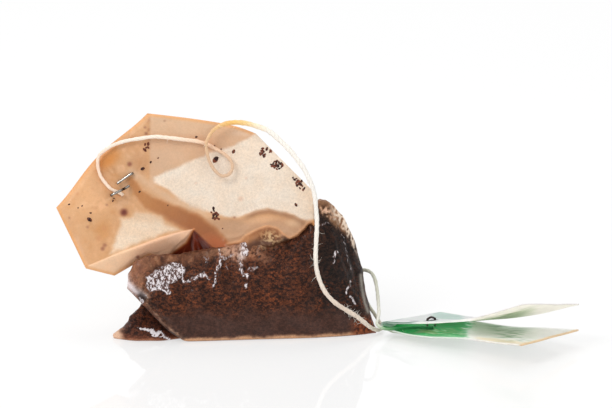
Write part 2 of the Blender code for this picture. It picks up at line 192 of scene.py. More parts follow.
def depth_inside(u, v, outline):
    """How deep each (u, v) is inside a closed outline, negative outside."""
    loop = [*outline, outline[0]]
    distance, _ = line_distance(u, v, loop)
    inside = np.zeros(u.shape, bool)
    for (ax, ay), (bx, by) in zip(loop, loop[1:]):
        if ay != by:
            crosses = (ay > v) != (by > v)
            inside ^= crosses & (u < (bx - ax) * (v - ay) / (by - ay) + ax)
    return np.where(inside, distance, -distance)


# %% [markdown]
# ## Shader nodes as expressions
# A node tree is easier to read as a formula. `Link` wraps one socket, so that `1 - mask * 0.3` adds
# the Math nodes by itself, and `Graph.node` makes every other kind of node.

# %% A socket to calculate with
class Link:
    """One output socket, on which the usual operators work."""

    def __init__(self, graph, socket):
        self.graph, self.socket = graph, socket

    def out(self, name):
        """Another output of the same node."""
        return Link(self.graph, self.socket.node.outputs[name])

    def maths(self, operation, *values):
        return self.graph.node("ShaderNodeMath", {"operation": operation}, dict(enumerate(values)))

    def __add__(self, other):
        return self.maths("ADD", self, other)

    def __sub__(self, other):
        return self.maths("SUBTRACT", self, other)

    def __rsub__(self, other):
        return self.maths("SUBTRACT", other, self)

    def __mul__(self, other):
        return self.maths("MULTIPLY", self, other)

    __radd__, __rmul__ = __add__, __mul__


# %% A node tree
class Graph:
    """A node tree under construction."""

    def __init__(self, tree):
        self.tree = tree

    def feed(self, socket, value):
        if isinstance(value, Link):
            self.tree.links.new(value.socket, socket)
        else:
            socket.default_value = value

    def node(self, kind, settings=None, inputs=None):
        """A node of that kind: its settings first, then its sockets' values or links."""
        made = self.tree.nodes.new(kind)
        for key, value in (settings or {}).items():
            setattr(made, key, value)
        for key, value in (inputs or {}).items():
            self.feed(made.inputs[key], value)
        return Link(self, made.outputs[0]) if made.outputs else made

    def ramp(self, value, start, end, low=0.0, high=1.0):
        """A soft step from low to high between two values, as ease makes in Python."""
        return self.node("ShaderNodeMapRange", {"interpolation_type": "SMOOTHSTEP"}, {
            "Value": value, "From Min": start, "From Max": end, "To Min": low, "To Max": high})

    def even(self, value):
        """A vector with the same value on all three axes."""
        return self.node("ShaderNodeCombineXYZ", {}, {axis: value for axis in "XYZ"})

    def stored(self, name, kind="FLOAT"):
        """A value that each point of a mesh carries, in a Geometry Nodes tree."""
        return self.node("GeometryNodeInputNamedAttribute", {"data_type": kind}, {"Name": name})

    def turned(self, rotation, angles):
        """A rotation that is turned further about its own axes."""
        by = self.node("FunctionNodeEulerToRotation", {}, {"Euler": angles})
        return self.node("FunctionNodeRotateRotation", {"rotation_space": "LOCAL"}, {
            "Rotation": rotation, "Rotate By": by})


# %% A material
def linear(seen):
    """Colours as they are seen, from 0 to 255, as the linear numbers that a shader takes."""
    shares = np.clip(np.asarray(seen, float), 0, 255) / 255
    return np.where(shares <= 0.04045, shares / 12.92, ((shares + 0.055) / 1.055) ** 2.4)


def srgb(*seen):
    return tuple(linear(seen).tolist())


class Finish(Graph):
    """A material under construction."""

    def __init__(self, name, **constants):
        self.material = bpy.data.materials.new(name)
        self.material.use_nodes = True
        super().__init__(self.material.node_tree)
        self.shader = self.tree.nodes["Principled BSDF"]
        self.place = self.node("ShaderNodeTexCoord").out("Object")
        for socket, value in constants.items():
            self.shader.inputs[socket.replace("_", " ")].default_value = value

    def attribute(self, name, output="Fac"):
        return self.node("ShaderNodeAttribute", {"attribute_name": name}).out(output)

    def noise(self, scale, detail=2.0, roughness=0.5, stretch=None, turn=0.0):
        """Noise of that many lumps per metre. stretch may make them longer one way, and turn tilts
        that way in the upright plane, in degrees."""
        vector = self.place
        if stretch:
            vector = self.node("ShaderNodeMapping", {}, {
                "Vector": vector, "Scale": stretch, "Rotation": (0.0, math.radians(turn), 0.0)})
        return self.node("ShaderNodeTexNoise", {}, {
            "Vector": vector, "Scale": scale, "Detail": detail, "Roughness": roughness})

    def mix(self, share, first, second, blend="MIX"):
        made = self.node("ShaderNodeMix", {"data_type": "RGBA", "blend_type": blend})
        node = made.socket.node
        for index, value in ((0, share), (6, first), (7, second)):
            value = (*value, 1.0) if isinstance(value, tuple) else value
            self.feed(node.inputs[index], value)
        return Link(self, node.outputs[2])

    def bump(self, height, distance, strength=1.0):
        return self.node("ShaderNodeBump", {}, {
            "Height": height, "Distance": distance, "Strength": strength})

    def toned(self, colour, red, green=None, blue=None):
        """A colour multiplied by one tone, or by one for each channel."""
        tones = self.node("ShaderNodeCombineColor", {}, {0: red, 1: green or red, 2: blue or red})
        return self.mix(1.0, colour, tones, "MULTIPLY")

    def shared(self, share, other):
        """The material with another shader in its place, in that share."""
        mixed = self.node("ShaderNodeMixShader", {}, {0: share, 2: other})
        self.tree.links.new(self.shader.outputs[0], mixed.socket.node.inputs[1])
        self.tree.links.new(mixed.socket, self.tree.nodes["Material Output"].inputs["Surface"])
        return self.material

    def set(self, **inputs):
        for key, value in inputs.items():
            self.feed(self.shader.inputs[key.replace("_", " ")], value)
        return self.material


# %% [markdown]
# ## Meshes from rows of points
# Every soft form here is a grid of points. The helpers below make the mesh, give each point the
# colours and masks that were worked out for it, and set it in the part's frame.

# %% Grids of points
def new_mesh(name, points, faces=()):
    mesh = bpy.data.meshes.new(name)
    mesh.from_pydata(points, [], faces)
    return mesh


def rounded(mesh):
    """The same mesh with smooth shading."""
    mesh.polygons.foreach_set("use_smooth", [True] * len(mesh.polygons))
    return mesh


def add_object(name, mesh, material):
    mesh.materials.append(material)
    return stand(name, mesh)


def store(mesh, name, kind, key, values):
    """Gives each point of a mesh its value of a new attribute."""
    layer = mesh.attributes.new(name, kind, "POINT")
    layer.data.foreach_set(key, np.asarray(values, np.float32).ravel())


def paint(mesh, masks, seen=None):
    """Stores masks, and seen colours as the attribute tint."""
    for name, values in masks.items():
        store(mesh, name, "FLOAT", "value", values)
    if seen is not None:
        full = np.concatenate([linear(seen), np.ones((len(seen), 1))], axis=1)
        store(mesh, "tint", "FLOAT_COLOR", "color", full)


def mesh_of_rings(name, points, rows, columns, caps):
    """A smooth mesh of rings of points in millimetres, capped at its ends."""
    row, column = np.meshgrid(np.arange(rows - 1), np.arange(columns), indexing="ij")
    after = (column + 1) % columns
    quads = np.stack([row * columns + column, row * columns + after,
                      (row + 1) * columns + after, (row + 1) * columns + column], axis=-1)
    mesh = new_mesh(name, metres(points).tolist(), [*quads.reshape(-1, 4).tolist(), *caps])
    shell = bmesh.new()
    shell.from_mesh(mesh)
    bmesh.ops.recalc_face_normals(shell, faces=shell.faces)
    shell.to_mesh(mesh)
    shell.free()
    print(name, "faces", len(mesh.polygons))
    return rounded(mesh)


def tube_mesh(name, rings):
    """A closed skin over rings of equal length, with a fan of triangles at each end."""
    rows, columns = rings.shape[:2]
    points = np.concatenate([rings.reshape(-1, 3), rings[0].mean(0)[None], rings[-1].mean(0)[None]])
    last, fans = (rows - 1) * columns, []
    for i in range(columns):
        after = (i + 1) % columns
        fans += [(after, i, rows * columns), (last + i, last + after, rows * columns + 1)]
    return mesh_of_rings(name, points, rows, columns, fans), points


def normals_of(mesh):
    out = np.empty(len(mesh.vertices) * 3, np.float32)
    mesh.vertices.foreach_get("normal", out)
    return out.reshape(-1, 3).astype(float)


def reshape_mesh(mesh, points):
    mesh.vertices.foreach_set("co", metres(points).astype(np.float32).ravel())
    mesh.update()


# %% [markdown]
# ## The cotton string
# The string is a soft yarn of three plies twisted together, 1 mm thick. It starts under the head's
# staple, lies along the head, makes a small ring, crosses the head's right edge and falls in front
# of the chamber. It rounds the chamber's tip on the table, stands up in a loop behind it and runs
# between the tag's leaves to their staple. Its skin is one tube whose section has three lobes that
# turn along the way, which reads as twisted plies.

# %% String route and its skin
STRING = 1.0
STRING_SPACING = 0.2  # between the rings of its skin
PLIES = 3
PLY_TURN = 3.1  # length of one full turn of the plies
YARN_SIDES = 27
SPAN_STEPS = 12  # fine steps between two points of a route
STRING_ROUTE = [
    (-18.5, 2.0, 27.5), (-18.8, 2.0, 27.8), (-19.6, 2.1, 28.2), (-20.9, 2.2, 28.8),
    (-21.9, 2.5, 29.8), (-23.0, 3.1, 31.3), (-23.5, 3.7, 33.2), (-23.3, 4.2, 35.0),
    (-21.9, 4.4, 36.3), (-20.2, 4.4, 37.3), (-17.7, 4.4, 38.1), (-15.1, 4.2, 38.6),
    (-12.3, 4.1, 39.0), (-9.7, 3.8, 38.9), (-6.7, 3.5, 38.6), (-3.9, 3.2, 38.3),
    # the small ring, which comes back over itself
    (-1.9, 3.0, 37.8), (-0.1, 2.7, 36.9), (1.7, 2.3, 35.9), (3.0, 1.9, 34.6), (3.3, 1.4, 33.2),
    (2.5, 1.1, 32.0), (1.1, 1.0, 31.8), (-0.2, 1.1, 32.9), (-1.2, 1.2, 34.6), (-1.7, 1.3, 36.5),
    (-1.9, 1.5, 38.1), (-1.4, 1.9, 39.5),
    # over the head's right edge and down in front of the chamber
    (-0.3, 2.4, 40.9), (1.3, 2.6, 41.8), (3.3, 2.5, 42.3), (5.5, 2.2, 42.3), (7.6, 1.8, 41.9),
    (10.5, 1.2, 40.9), (13.1, 0.5, 38.8), (14.8, -0.1, 37.2), (16.3, -0.8, 35.4),
    (17.7, -1.5, 33.5), (19.4, -2.7, 29.7), (19.95, -4.0, 25.5), (20.05, -5.0, 22.9),
    (19.9, -6.0, 20.2), (19.8, -6.8, 17.2), (20.0, -7.2, 14.8), (20.7, -7.3, 12.3),
    (21.8, -7.2, 10.0), (23.5, -6.9, 8.0), (25.5, -6.3, 6.4), (27.8, -5.7, 4.8), (29.4, -5.0, 3.3),
    # round the chamber's tip on the table and up into the loop that stands behind it
    (30.8, -4.1, 1.9), (32.0, -3.0, 1.1), (32.8, -1.5, 0.8), (33.1, 0.2, 0.8), (32.7, 1.9, 1.2),
    (31.8, 3.3, 2.3), (30.6, 4.2, 3.9), (29.4, 4.6, 6.0), (28.6, 4.8, 8.1), (28.4, 4.7, 10.1),
    (28.9, 4.5, 11.2), (29.9, 3.9, 11.5), (31.0, 3.2, 11.1), (31.7, 2.2, 10.0), (32.1, 1.1, 8.2),
    (32.3, 0.1, 6.4), (32.4, -1.0, 5.1), (32.4, -2.3, 4.2),
    # down past the tag's near corner and between its leaves to the staple
    (32.2, -3.6, 3.5), (32.0, -4.8, 3.0), (32.5, -5.9, 2.6), (33.6, -6.5, 2.35), (35.0, -6.3, 2.3),
    (36.6, -5.9, 2.25), (38.6, -5.6, 2.25), (40.6, -5.4, 2.25), (42.4, -5.5, 2.3),
    (43.2, -5.7, 2.35),
]


# %% A smooth path and the rings round it
def through(route, spacing):
    """Evenly spaced points on a smooth curve through the route's own points."""
    route = [np.array(p, float) for p in route]
    ends = [2 * route[0] - route[1], *route, 2 * route[-1] - route[-2]]
    fine = []
    for a, b, c, d in zip(ends, ends[1:], ends[2:], ends[3:]):
        for t in np.linspace(0, 1, SPAN_STEPS, endpoint=False):
            fine.append(0.5 * (2 * b + (c - a) * t + (2 * a - 5 * b + 4 * c - d) * t ** 2
                               + (3 * b - a - 3 * c + d) * t ** 3))
    fine = np.array([*fine, route[-1]])
    along = np.concatenate([[0], np.cumsum(np.linalg.norm(np.diff(fine, axis=0), axis=1))])
    at = np.linspace(0, along[-1], round(along[-1] / spacing) + 1)
    return np.stack([np.interp(at, along, fine[:, k]) for k in range(3)], axis=1), at


def frames_along(points):
    """Two directions across the path at each of its points, which turn no more than they must."""
    ahead = np.gradient(points, axis=0)
    ahead /= np.linalg.norm(ahead, axis=1)[:, None]
    side = np.cross(ahead[0], (0.0, 0.0, 1.0))
    sides = []
    for way in ahead:
        side = side - way * np.dot(side, way)
        side = side / np.linalg.norm(side)
        sides.append(side)
    sides = np.array(sides)
    return sides, np.cross(ahead, sides)


def spokes(angle, side, over):
    """Unit vectors that point away from the path, at each of its points and for each angle."""
    return np.cos(angle)[..., None] * side[:, None] + np.sin(angle)[..., None] * over[:, None]


YARN_THICKNESS = [  # share of the length, then share of the full thickness
    (0.0, 0.66), (0.06, 0.68), (0.12, 0.76), (0.18, 0.80), (0.235, 0.66), (0.325, 0.66),
    (0.36, 0.98), (0.43, 1.02), (0.50, 0.93), (0.58, 0.86), (0.69, 0.90), (0.75, 0.70),
    (0.90, 0.70), (0.93, 0.60), (1.0, 0.56),
]


def yarn_rings(points, at, radius):
    """Rings round the path whose section has one soft lobe for each ply. The yarn is thinner where
    it is soaked and stretched: in the ring, in the loop and where the tag's staple pinches it."""
    side, over = frames_along(points)
    angle = np.linspace(0, 2 * math.pi, YARN_SIDES, endpoint=False)[None, :]
    turn = 2 * math.pi * at[:, None] / PLY_TURN
    lobe = np.abs(np.cos(PLIES / 2 * (angle - turn)))
    thick = smooth(at / at[-1], YARN_THICKNESS)[:, None]
    wander = 1 + 0.05 * np.sin(at * 1.7)[:, None] + 0.04 * np.sin(at * 4.1 + 1)[:, None]
    reach = radius * thick * wander * (0.93 + 0.09 * lobe)
    return points[:, None] + reach[..., None] * spokes(angle, side, over), lobe


STRING_POINTS, STRING_AT = through(STRING_ROUTE, STRING_SPACING)
print("string length", round(float(STRING_AT[-1]), 1), "mm")

# %% [markdown]
# The yarn's finish is matt cotton. Where it touched the tea it has drunk some of it: stained golden
# over the head's edge, cream along the head, and white on the part that hung clear of the cup. It
# is greyer where it rounds the chamber's tip and climbs the loop behind it, and its end between the
# tag's leaves is painted dark green: painted shade with the green light of the card. These colours
# are stored along the tube as a tint, so that they follow the yarn.

# %% String material and object
STRING_TINTS = [  # share of the length, then the colour seen there
    (0.00, (252, 226, 202)), (0.03, (255, 230, 210)), (0.05, (255, 224, 200)),
    (0.08, (255, 240, 226)), (0.12, (255, 244, 230)), (0.17, (255, 234, 214)),
    (0.204, (252, 216, 186)), (0.225, (236, 200, 170)), (0.25, (228, 194, 164)),
    (0.29, (226, 192, 162)), (0.32, (234, 194, 154)), (0.342, (242, 198, 142)),
    (0.362, (248, 196, 116)), (0.378, (252, 214, 150)), (0.392, (254, 236, 206)),
    (0.41, (253, 248, 240)), (0.50, (251, 248, 243)), (0.58, (252, 246, 238)),
    (0.63, (242, 228, 214)), (0.66, (232, 214, 198)), (0.70, (232, 220, 206)),
    (0.745, (226, 222, 208)), (0.77, (212, 210, 192)), (0.85, (204, 206, 190)),
    (0.89, (224, 224, 212)), (0.915, (234, 232, 222)), (0.931, (206, 216, 196)),
    # between the tag's leaves: painted dark green, as painted shade with the card's green light
    (0.942, (110, 160, 112)), (0.955, (44, 132, 74)), (1.00, (30, 120, 66)),
]


def cotton():
    made = Finish("cotton_yarn", Roughness=0.85, Specular_IOR_Level=0.25, Sheen_Weight=0.25)
    fibres = made.noise(5200, 3, 0.65)
    ply = made.attribute("ply")
    shade = made.ramp(ply, 0.0, 0.5, 0.86, 1.0) * made.ramp(fibres, 0.3, 0.7, 0.90, 1.04)
    colour = made.toned(made.attribute("tint", "Color"), shade, shade * 0.985, shade * 0.96)
    return made.set(Base_Color=colour, Normal=made.bump(fibres + ply * 0.4, 0.00008, 0.5))


FUZZ = [  # share of the length, then how thick the loose fibres stand
    (0.0, 0.08), (0.40, 0.10), (0.565, 0.2), (0.578, 1.0), (0.592, 1.0), (0.605, 0.2),
    (0.655, 0.25), (0.668, 1.0), (0.692, 1.0), (0.704, 0.0), (0.78, 0.0), (1.0, 0.05),
]


def tints_along(share, stations):
    return np.stack([np.interp(share, [s for s, _ in stations], [c[k] for _, c in stations])
                     for k in range(3)], axis=1)


def make_string(material):
    rings, lobe = yarn_rings(STRING_POINTS, STRING_AT, STRING / 2)
    mesh, _ = tube_mesh("cotton_string", rings)
    share = np.repeat(STRING_AT / STRING_AT[-1], rings.shape[1])
    share = np.concatenate([share, [0, 1]])
    ply = np.concatenate([lobe.ravel(), [0.5, 0.5]])
    paint(mesh, {"ply": ply, "fuzz": smooth(share, FUZZ)}, tints_along(share, STRING_TINTS))
    return add_object("cotton_string", mesh, material)


COTTON = cotton()
cotton_string = make_string(COTTON)

# %% [markdown]
# ## The tea chambers
# Each chamber is a paper pouch swollen with wet leaves: a pillow section that is widest low down,
# flat where it stands, and drawn up to a ridge. The section is lofted along the bag through
# measured stations. The loft alone would look like rubber, so every point is then moved along its
# normal by what pulls on wet paper: the lumps of the leaves, gathers below the ridge, and the
# creases that run from the crushed left corner.

# %% Chamber stations and section
PILLOW = [
    (0.0, 0.76), (0.02, 0.86), (0.07, 0.95), (0.18, 1.0), (0.34, 0.99), (0.50, 0.92),
    (0.65, 0.79), (0.79, 0.58), (0.91, 0.34), (1.0, 0.14),
]
# Stations along X: (x, centre y, half width, bottom z, top z).
FRONT_CHAMBER = [
    (-17.5, -5.6, 0.9, 10.6, 13.3), (-15.9, -5.6, 2.2, 9.2, 15.5), (-12.1, -5.4, 3.4, 5.2, 16.6),
    (-8.2, -4.8, 4.1, 1.5, 16.5), (-4.7, -4.0, 4.3, 0.0, 16.9), (-1.0, -3.5, 4.5, 0.0, 17.3),
    (3.0, -3.0, 4.6, 0.0, 18.1), (10.0, -2.3, 4.6, 0.0, 19.3), (14.5, -2.0, 4.5, 0.0, 19.9),
    (17.0, -1.85, 4.4, 0.0, 20.9), (18.8, -1.75, 4.3, 0.0, 22.0), (19.7, -1.7, 4.2, 0.0, 24.0),
    (20.5, -1.6, 4.1, 0.0, 26.9), (22.6, -1.45, 3.8, 0.0, 26.2), (24.5, -1.3, 3.5, 0.0, 24.3),
    (27.6, -1.0, 2.8, 0.0, 18.0), (29.4, -0.9, 2.1, 0.0, 10.4),
    (30.5, -0.9, 1.3, 0.0, 4.8), (31.7, -0.8, 0.5, 0.0, 0.9),
]
REAR_CHAMBER = [
    (-20.3, -4.5, 0.5, 0.0, 0.8), (-18.3, -3.6, 1.8, 0.0, 2.4), (-16.3, -2.3, 2.8, 0.0, 4.8),
    (-14.0, -0.4, 3.5, 0.0, 7.0), (-9.0, 3.6, 4.4, 0.0, 11.2), (-3.0, 6.2, 4.7, 0.0, 15.2),
    (4.0, 7.4, 4.8, 0.0, 18.4), (12.0, 8.0, 4.7, 0.0, 19.6), (18.0, 8.2, 4.3, 0.0, 20.6),
    (22.5, 8.0, 3.3, 0.0, 17.0), (24.8, 7.6, 2.0, 0.0, 9.4), (26.2, 7.4, 0.7, 0.0, 2.4),
]
FRONT_LEAN, REAR_LEAN = 2.2, -6.4  # how far the ridge bends back, at the full height
FULL_HEIGHT = 15.0
FRONT_GRID, REAR_GRID = (400, 200), (260, 150)  # rings, and points round each
SECTION_STEPS = 160


def chamber_rings(stations, lean, count, around):
    """Rings of the chamber's skin, and for each point its side, from -1 in front to 1 behind, and
    its share of the height."""
    xs = np.array([s[0] for s in stations])
    tops = np.array([s[4] for s in stations])
    travel = np.concatenate([[0], np.cumsum(np.hypot(np.diff(xs), np.diff(tops)))])
    x = np.interp(np.linspace(0, travel[-1], count), travel, xs)
    centre, half, bottom, top = (smooth(x, [(s[0], s[k]) for s in stations]) for k in (1, 2, 3, 4))
    share = np.linspace(0, 1, SECTION_STEPS)
    width = smooth(share, PILLOW)
    over = np.linspace(1, -1, 12)[1:-1]  # across the ridge and the base, without their corners
    outline = np.concatenate([np.stack(pair, 1) for pair in (
        (-width, share), (-over * width[-1], np.ones_like(over)),
        (width[::-1], share[::-1]), (over * width[0], np.zeros_like(over)))])
    rings, sides, shares = [], [], []
    for i in range(count):
        height = top[i] - bottom[i]
        y, z = outline[:, 0] * half[i], outline[:, 1] * height
        loop_y, loop_z = np.append(y, y[0]), np.append(z, z[0])
        travel = np.concatenate([[0], np.cumsum(np.hypot(np.diff(loop_y), np.diff(loop_z)))])
        at = np.linspace(0, travel[-1], around, endpoint=False)
        y, z = np.interp(at, travel, loop_y), np.interp(at, travel, loop_z)
        bend = lean * min(1.0, height / FULL_HEIGHT) * (z / height) ** 2
        rings.append(np.stack([np.full(around, x[i]), centre[i] + bend + y, bottom[i] + z], 1))
        sides.append(y / half[i])
        shares.append(z / height)
    return np.array(rings), np.array(sides), np.array(shares)


# %% [markdown]
# The front of the front chamber carries the features that make this bag itself. They are placed
# on the plane that faces the viewer: the crushed corner, the crease that climbs to the right, the
# puckers below the ridge, and the wet patches where the paper clings to the leaves, whose glints
# are painted into the colour as painted highlights.

# %% Drawn features of the front chamber
CREASES = [  # (line, height, width)
    ([(10.2, 12.8), (13.4, 16.4), (16.2, 19.0)], 0.45, 0.45),
    ([(-14.4, 7.4), (-11.6, 9.0), (-8.0, 9.4), (-4.0, 8.4)], -0.35, 0.7),
    ([(-14.2, 7.8), (-12.0, 5.4), (-9.0, 2.6), (-6.4, 0.8)], 0.35, 0.5),
    ([(-6.6, 11.4), (-4.0, 11.0), (-1.4, 11.6)], 0.30, 0.35),
    ([(1.0, 16.4), (0.9, 13.0), (1.3, 10.0)], 0.35, 0.35),
    ([(3.2, 15.8), (3.0, 12.4), (3.4, 9.4)], -0.30, 0.4),
    ([(5.4, 18.4), (5.0, 15.0), (5.6, 11.6)], 0.40, 0.45),
    ([(8.2, 14.2), (7.6, 11.4)], 0.30, 0.35),
    ([(-9.8, 14.6), (-9.2, 12.0), (-8.6, 9.4)], 0.25, 0.4),
    ([(22.6, 21.0), (24.0, 15.0), (26.8, 8.0), (29.6, 3.2)], 0.35, 0.6),
    ([(25.0, 20.6), (26.8, 14.6), (28.6, 8.4)], -0.35, 0.6),
]
KNOT = (-14.3, 6.9)
DIAGONAL = [  # the edge below the knot
    (-14.1, 8.2), (-13.4, 7.2), (-13.6, 5.7), (-12.6, 4.4), (-11.4, 3.2), (-10.9, 2.2), (-9.9, 1.4),
    (-8.4, 0.2), (-6.9, -1.0),
]


# %% Crumples, creases and the hem
def crumpled(points, share, seed):
    """Leaves press from inside, and the slack paper above them falls into small folds."""
    move = mixed_lumps(points, (0.20, 5.0, seed), (0.10, 1.9, seed + 5.1), (0.05, 0.8, seed + 2.4))
    near_top = ease(share, 0.45, 0.95)
    upright = points * (1, 0.5, 0.35)
    move += (0.15 + 0.85 * near_top) * 0.34 * (ridges(upright, 3.1, seed + 1.3) - 0.35)
    move += (0.20 + 0.80 * near_top) * 0.14 * (ridges(upright, 1.3, seed + 7.7) - 0.35)
    return move


def hemmed(points):
    """The pressed hem stands out a little along the table."""
    return 0.18 * soft_line(points[:, 2] - 0.5, 0.42)


def creased(points, side, share):
    """How far each point of the front chamber moves out, in millimetres."""
    u, v = plane_of(points)
    facing = ease(-side, -0.2, 0.5)
    move = crumpled(points, share, 3.1)
    crushed = np.exp(-(((u - KNOT[0]) / 3.2) ** 2 + ((v - KNOT[1]) / 2.6) ** 2))
    move += crushed * (0.9 * ridges(points, 1.5, 6.6) - 0.6)
    for line, height, width in CREASES:
        away, along = line_distance(u, v, line)
        fade = ease(along, 0.0, 0.15) * ease(1 - along, 0.0, 0.15) + 0.15
        move += facing * height * fade * soft_line(away, width)
    away, _ = line_distance(u, v, DIAGONAL)
    rough = mixed_lumps(points, (1.0, 1.4, 17.0), (0.5, 0.7, 19.0))
    move += facing * 0.8 * soft_line(away, 1.2) * rough
    return move * ease(share, 0.0, 0.08) + hemmed(points) * ease(points[:, 0], -9.0, -6.0)


# %% The skin of a chamber
REAR_FOOT = [(-20.3, 0.2), (-18.3, 1.0), (-16.3, 2.3), (-14.0, 3.7), (-10.0, 6.2), (-7.0, 6.4),
             (-3.0, 3.0), (1.0, 0.0)]  # how far the rear chamber's foot runs forward on the table
NO_FOOT = [(-99, 0), (99, 0)]
FOOT_HEIGHT = 5.0
TABLE_GAP = 0.02


def make_chamber(name, stations, lean, grid, foot, move, colour, material):
    rings, side, share = chamber_rings(stations, lean, *grid)
    mesh, points = tube_mesh(name, rings)
    side = np.concatenate([side.ravel(), [0, 0]])
    share = np.concatenate([share.ravel(), [0.5, 0.5]])
    low = (1 - ease(points[:, 2], 0.0, FOOT_HEIGHT)) * ease(-side, -0.4, 0.6)
    forward = smooth(points[:, 0], foot) * low
    points = points + normals_of(mesh) * move(points, side, share)[:, None]
    points[:, 1] -= forward
    points[:, 2] = np.maximum(points[:, 2], TABLE_GAP)
    reshape_mesh(mesh, points)
    masks, seen = colour(points, side, share)
    paint(mesh, masks, seen)
    return add_object(name, mesh, material)


# %% [markdown]
# Colour goes on in two steps. The broad tones, such as dark leaves behind wet paper, the browner
# film above them and the orange edge along the table, are worked out for every point. The shader
# then adds what is finer than the grid: single leaves, rusty and black, and the paper's grain.

# %% Chamber colours
TEA, TEA_LOW, TEA_RIGHT = (82, 45, 29), (78, 51, 42), (46, 32, 26)
FILM, FILM_DARK, FILM_LIGHT = (124, 80, 56), (62, 34, 24), (184, 138, 104)
FILM_LEFT = (166, 112, 86)
LILAC, HEM, CORNER, PALE = (232, 220, 222), (230, 176, 134), (122, 62, 36), (200, 152, 112)
RIM_CREAM = (248, 226, 204)


class Layers:
    """The colours of many points, on which one layer goes over another."""

    def __init__(self, colour, count):
        self.seen = np.tile(np.array(colour, float), (count, 1))

    def add(self, colour, mask):
        """One more colour, which covers the others where its mask is 1."""
        self.seen += (np.array(colour, float) - self.seen) * mask[:, None]


def spot(u, v, middle, size, turn=0.0):
    """A soft oval mask."""
    du, dv = u - middle[0], v - middle[1]
    a = math.radians(turn)
    across, along = du * math.cos(a) + dv * math.sin(a), -du * math.sin(a) + dv * math.cos(a)
    return np.exp(-((across / size[0]) ** 2 + (along / size[1]) ** 2) ** 1.5)


# %% Painted glints
PAINTED_SPARKLES = [  # (line, half width, strength) of painted glints, where wet paper clings to leaves
    ([(-12.2, 10.0), (-10.6, 11.4), (-7.8, 12.4)], 1.5, 1.0),
    ([(-10.6, 9.6), (-9.4, 7.9)], 0.7, 1.0), ([(-12.8, 8.8), (-8.4, 10.6)], 0.9, 0.95),
    ([(-7.2, 11.9), (-6.3, 10.3), (-4.6, 10.5), (-2.2, 11.5)], 0.32, 1.0),
    ([(-2.6, 11.4), (-1.5, 10.5)], 0.25, 0.8),
    ([(1.0, 16.6), (1.1, 13.6), (0.2, 11.4), (-0.6, 9.0)], 0.24, 0.95),
    ([(-2.4, 15.0), (-2.0, 13.6)], 0.16, 0.6), ([(-1.7, 14.8), (-1.4, 13.2)], 0.14, 0.5),
    ([(1.6, 14.8), (3.0, 15.4)], 0.45, 0.5), ([(5.4, 17.8), (5.9, 15.4)], 0.7, 0.85),
    ([(4.6, 13.6), (5.4, 11.7), (6.2, 11.2)], 0.32, 1.0), ([(6.0, 9.8), (5.9, 9.0)], 0.28, 0.8),
    ([(6.6, 12.4), (8.6, 12.8)], 0.4, 0.5), ([(2.0, 13.6), (2.2, 12.2)], 0.14, 0.5),
    ([(24.1, 15.8), (23.7, 14.7)], 0.3, 1.0), ([(23.6, 14.2), (23.3, 13.7)], 0.22, 0.8),
    ([(26.9, 10.0), (26.4, 8.4), (26.2, 7.4)], 0.18, 1.0), ([(27.0, 6.8), (27.6, 5.4)], 0.25, 0.7),
    ([(24.4, 21.6), (25.6, 17.0), (26.6, 12.4)], 0.10, 0.5),
    ([(19.9, 21.0), (22.6, 21.8)], 0.2, 0.5), ([(-15.0, 6.6), (-14.4, 5.8)], 0.24, 1.0),
    ([(-14.4, 7.4), (-13.4, 7.0)], 0.12, 0.7),
]
REAR_PAINTED_SPARKLES = [
    ([(-15.2, 0.9), (-13.6, 0.3), (-12.0, -0.4), (-10.6, -0.2), (-9.2, -1.4)], 0.26, 1.6),
    ([(-12.6, -0.7), (-10.8, -1.1), (-9.6, -1.3)], 0.16, 1.6),
    ([(-16.0, 1.0), (-15.0, 0.7)], 0.08, 0.6),
]


def glints(u, v, points, lines):
    """How wet each point is and how strongly glints are painted on it, with ragged edges."""
    warp_u = u + mixed_lumps(points, (0.35, 0.9, 40.0), (0.5, 2.5, 43.0))
    warp_v = v + mixed_lumps(points, (0.35, 0.9, 46.0), (0.5, 2.5, 49.0))
    total = np.zeros_like(u)
    for line, width, strength in lines:
        away, _ = line_distance(warp_u, warp_v, line)
        total = np.maximum(total, strength * (1 - ease(away, width * 0.6, width * 1.3)))
    return total


# %% Slack film above the leaves
STRING_BEHIND = [(28.8, 11.2), (29.1, 8.5), (29.6, 5.8), (30.3, 3.8)]  # the loop, behind the film
LEFT_RIM = [(-18, 12.0), (-17.6, 9.8), (-16.0, 8.2), (-14.0, 7.2)]
FRONT_TOP_EDGE = [
    (-18, 12.4), (-13.2, 14.8), (-8, 16.4), (-3, 17.4), (3, 17.6), (6.2, 18.6), (10.4, 20.4),
    (12.2, 20.4), (14.7, 18.4), (16.4, 19.6), (18.2, 21.6), (20, 24), (24, 26),
]
FILM_PATCHES = [  # (middle, size, colour, strength) where air lies under the slack film; the near-white one is a painted highlight
    ((3.7, 15.9), (2.8, 1.9), (206, 160, 134), 0.90),
    ((5.3, 15.8), (0.8, 2.3), (246, 228, 222), 0.90),
    ((1.3, 16.0), (1.0, 1.2), (206, 160, 130), 0.70),
    ((-1.4, 15.8), (1.5, 1.5), (146, 102, 76), 0.80),
    ((7.6, 15.6), (1.8, 1.3), (186, 130, 96), 0.75),
    ((9.8, 14.6), (1.6, 1.2), (150, 104, 78), 0.60),
]


def filmy(tint, mask, points, seed):
    """Slack wet film above the leaves, brown, with darker and paler upright folds."""
    folds = 0.6 * lumps(points * (1, 0.5, 0.35), 1.3, seed)
    folds += 0.4 * lumps(points * (1, 0.5, 0.4), 0.55, seed + 3)
    tint.add(FILM, mask)
    tint.add(FILM_DARK, mask * ease(folds, 0.0, 0.35) * 0.8)
    tint.add(FILM_LIGHT, mask * ease(-folds, 0.05, 0.4) * 0.55)


# %% Colours of the two chambers
def edge_noise(points):
    """The soft and the fine noise that roughen the edges of the chambers' colours."""
    return mixed_lumps(points, (0.5, 3.0, 2.2), (0.3, 1.1, 7.1)), lumps(points, 0.55, 23.0)


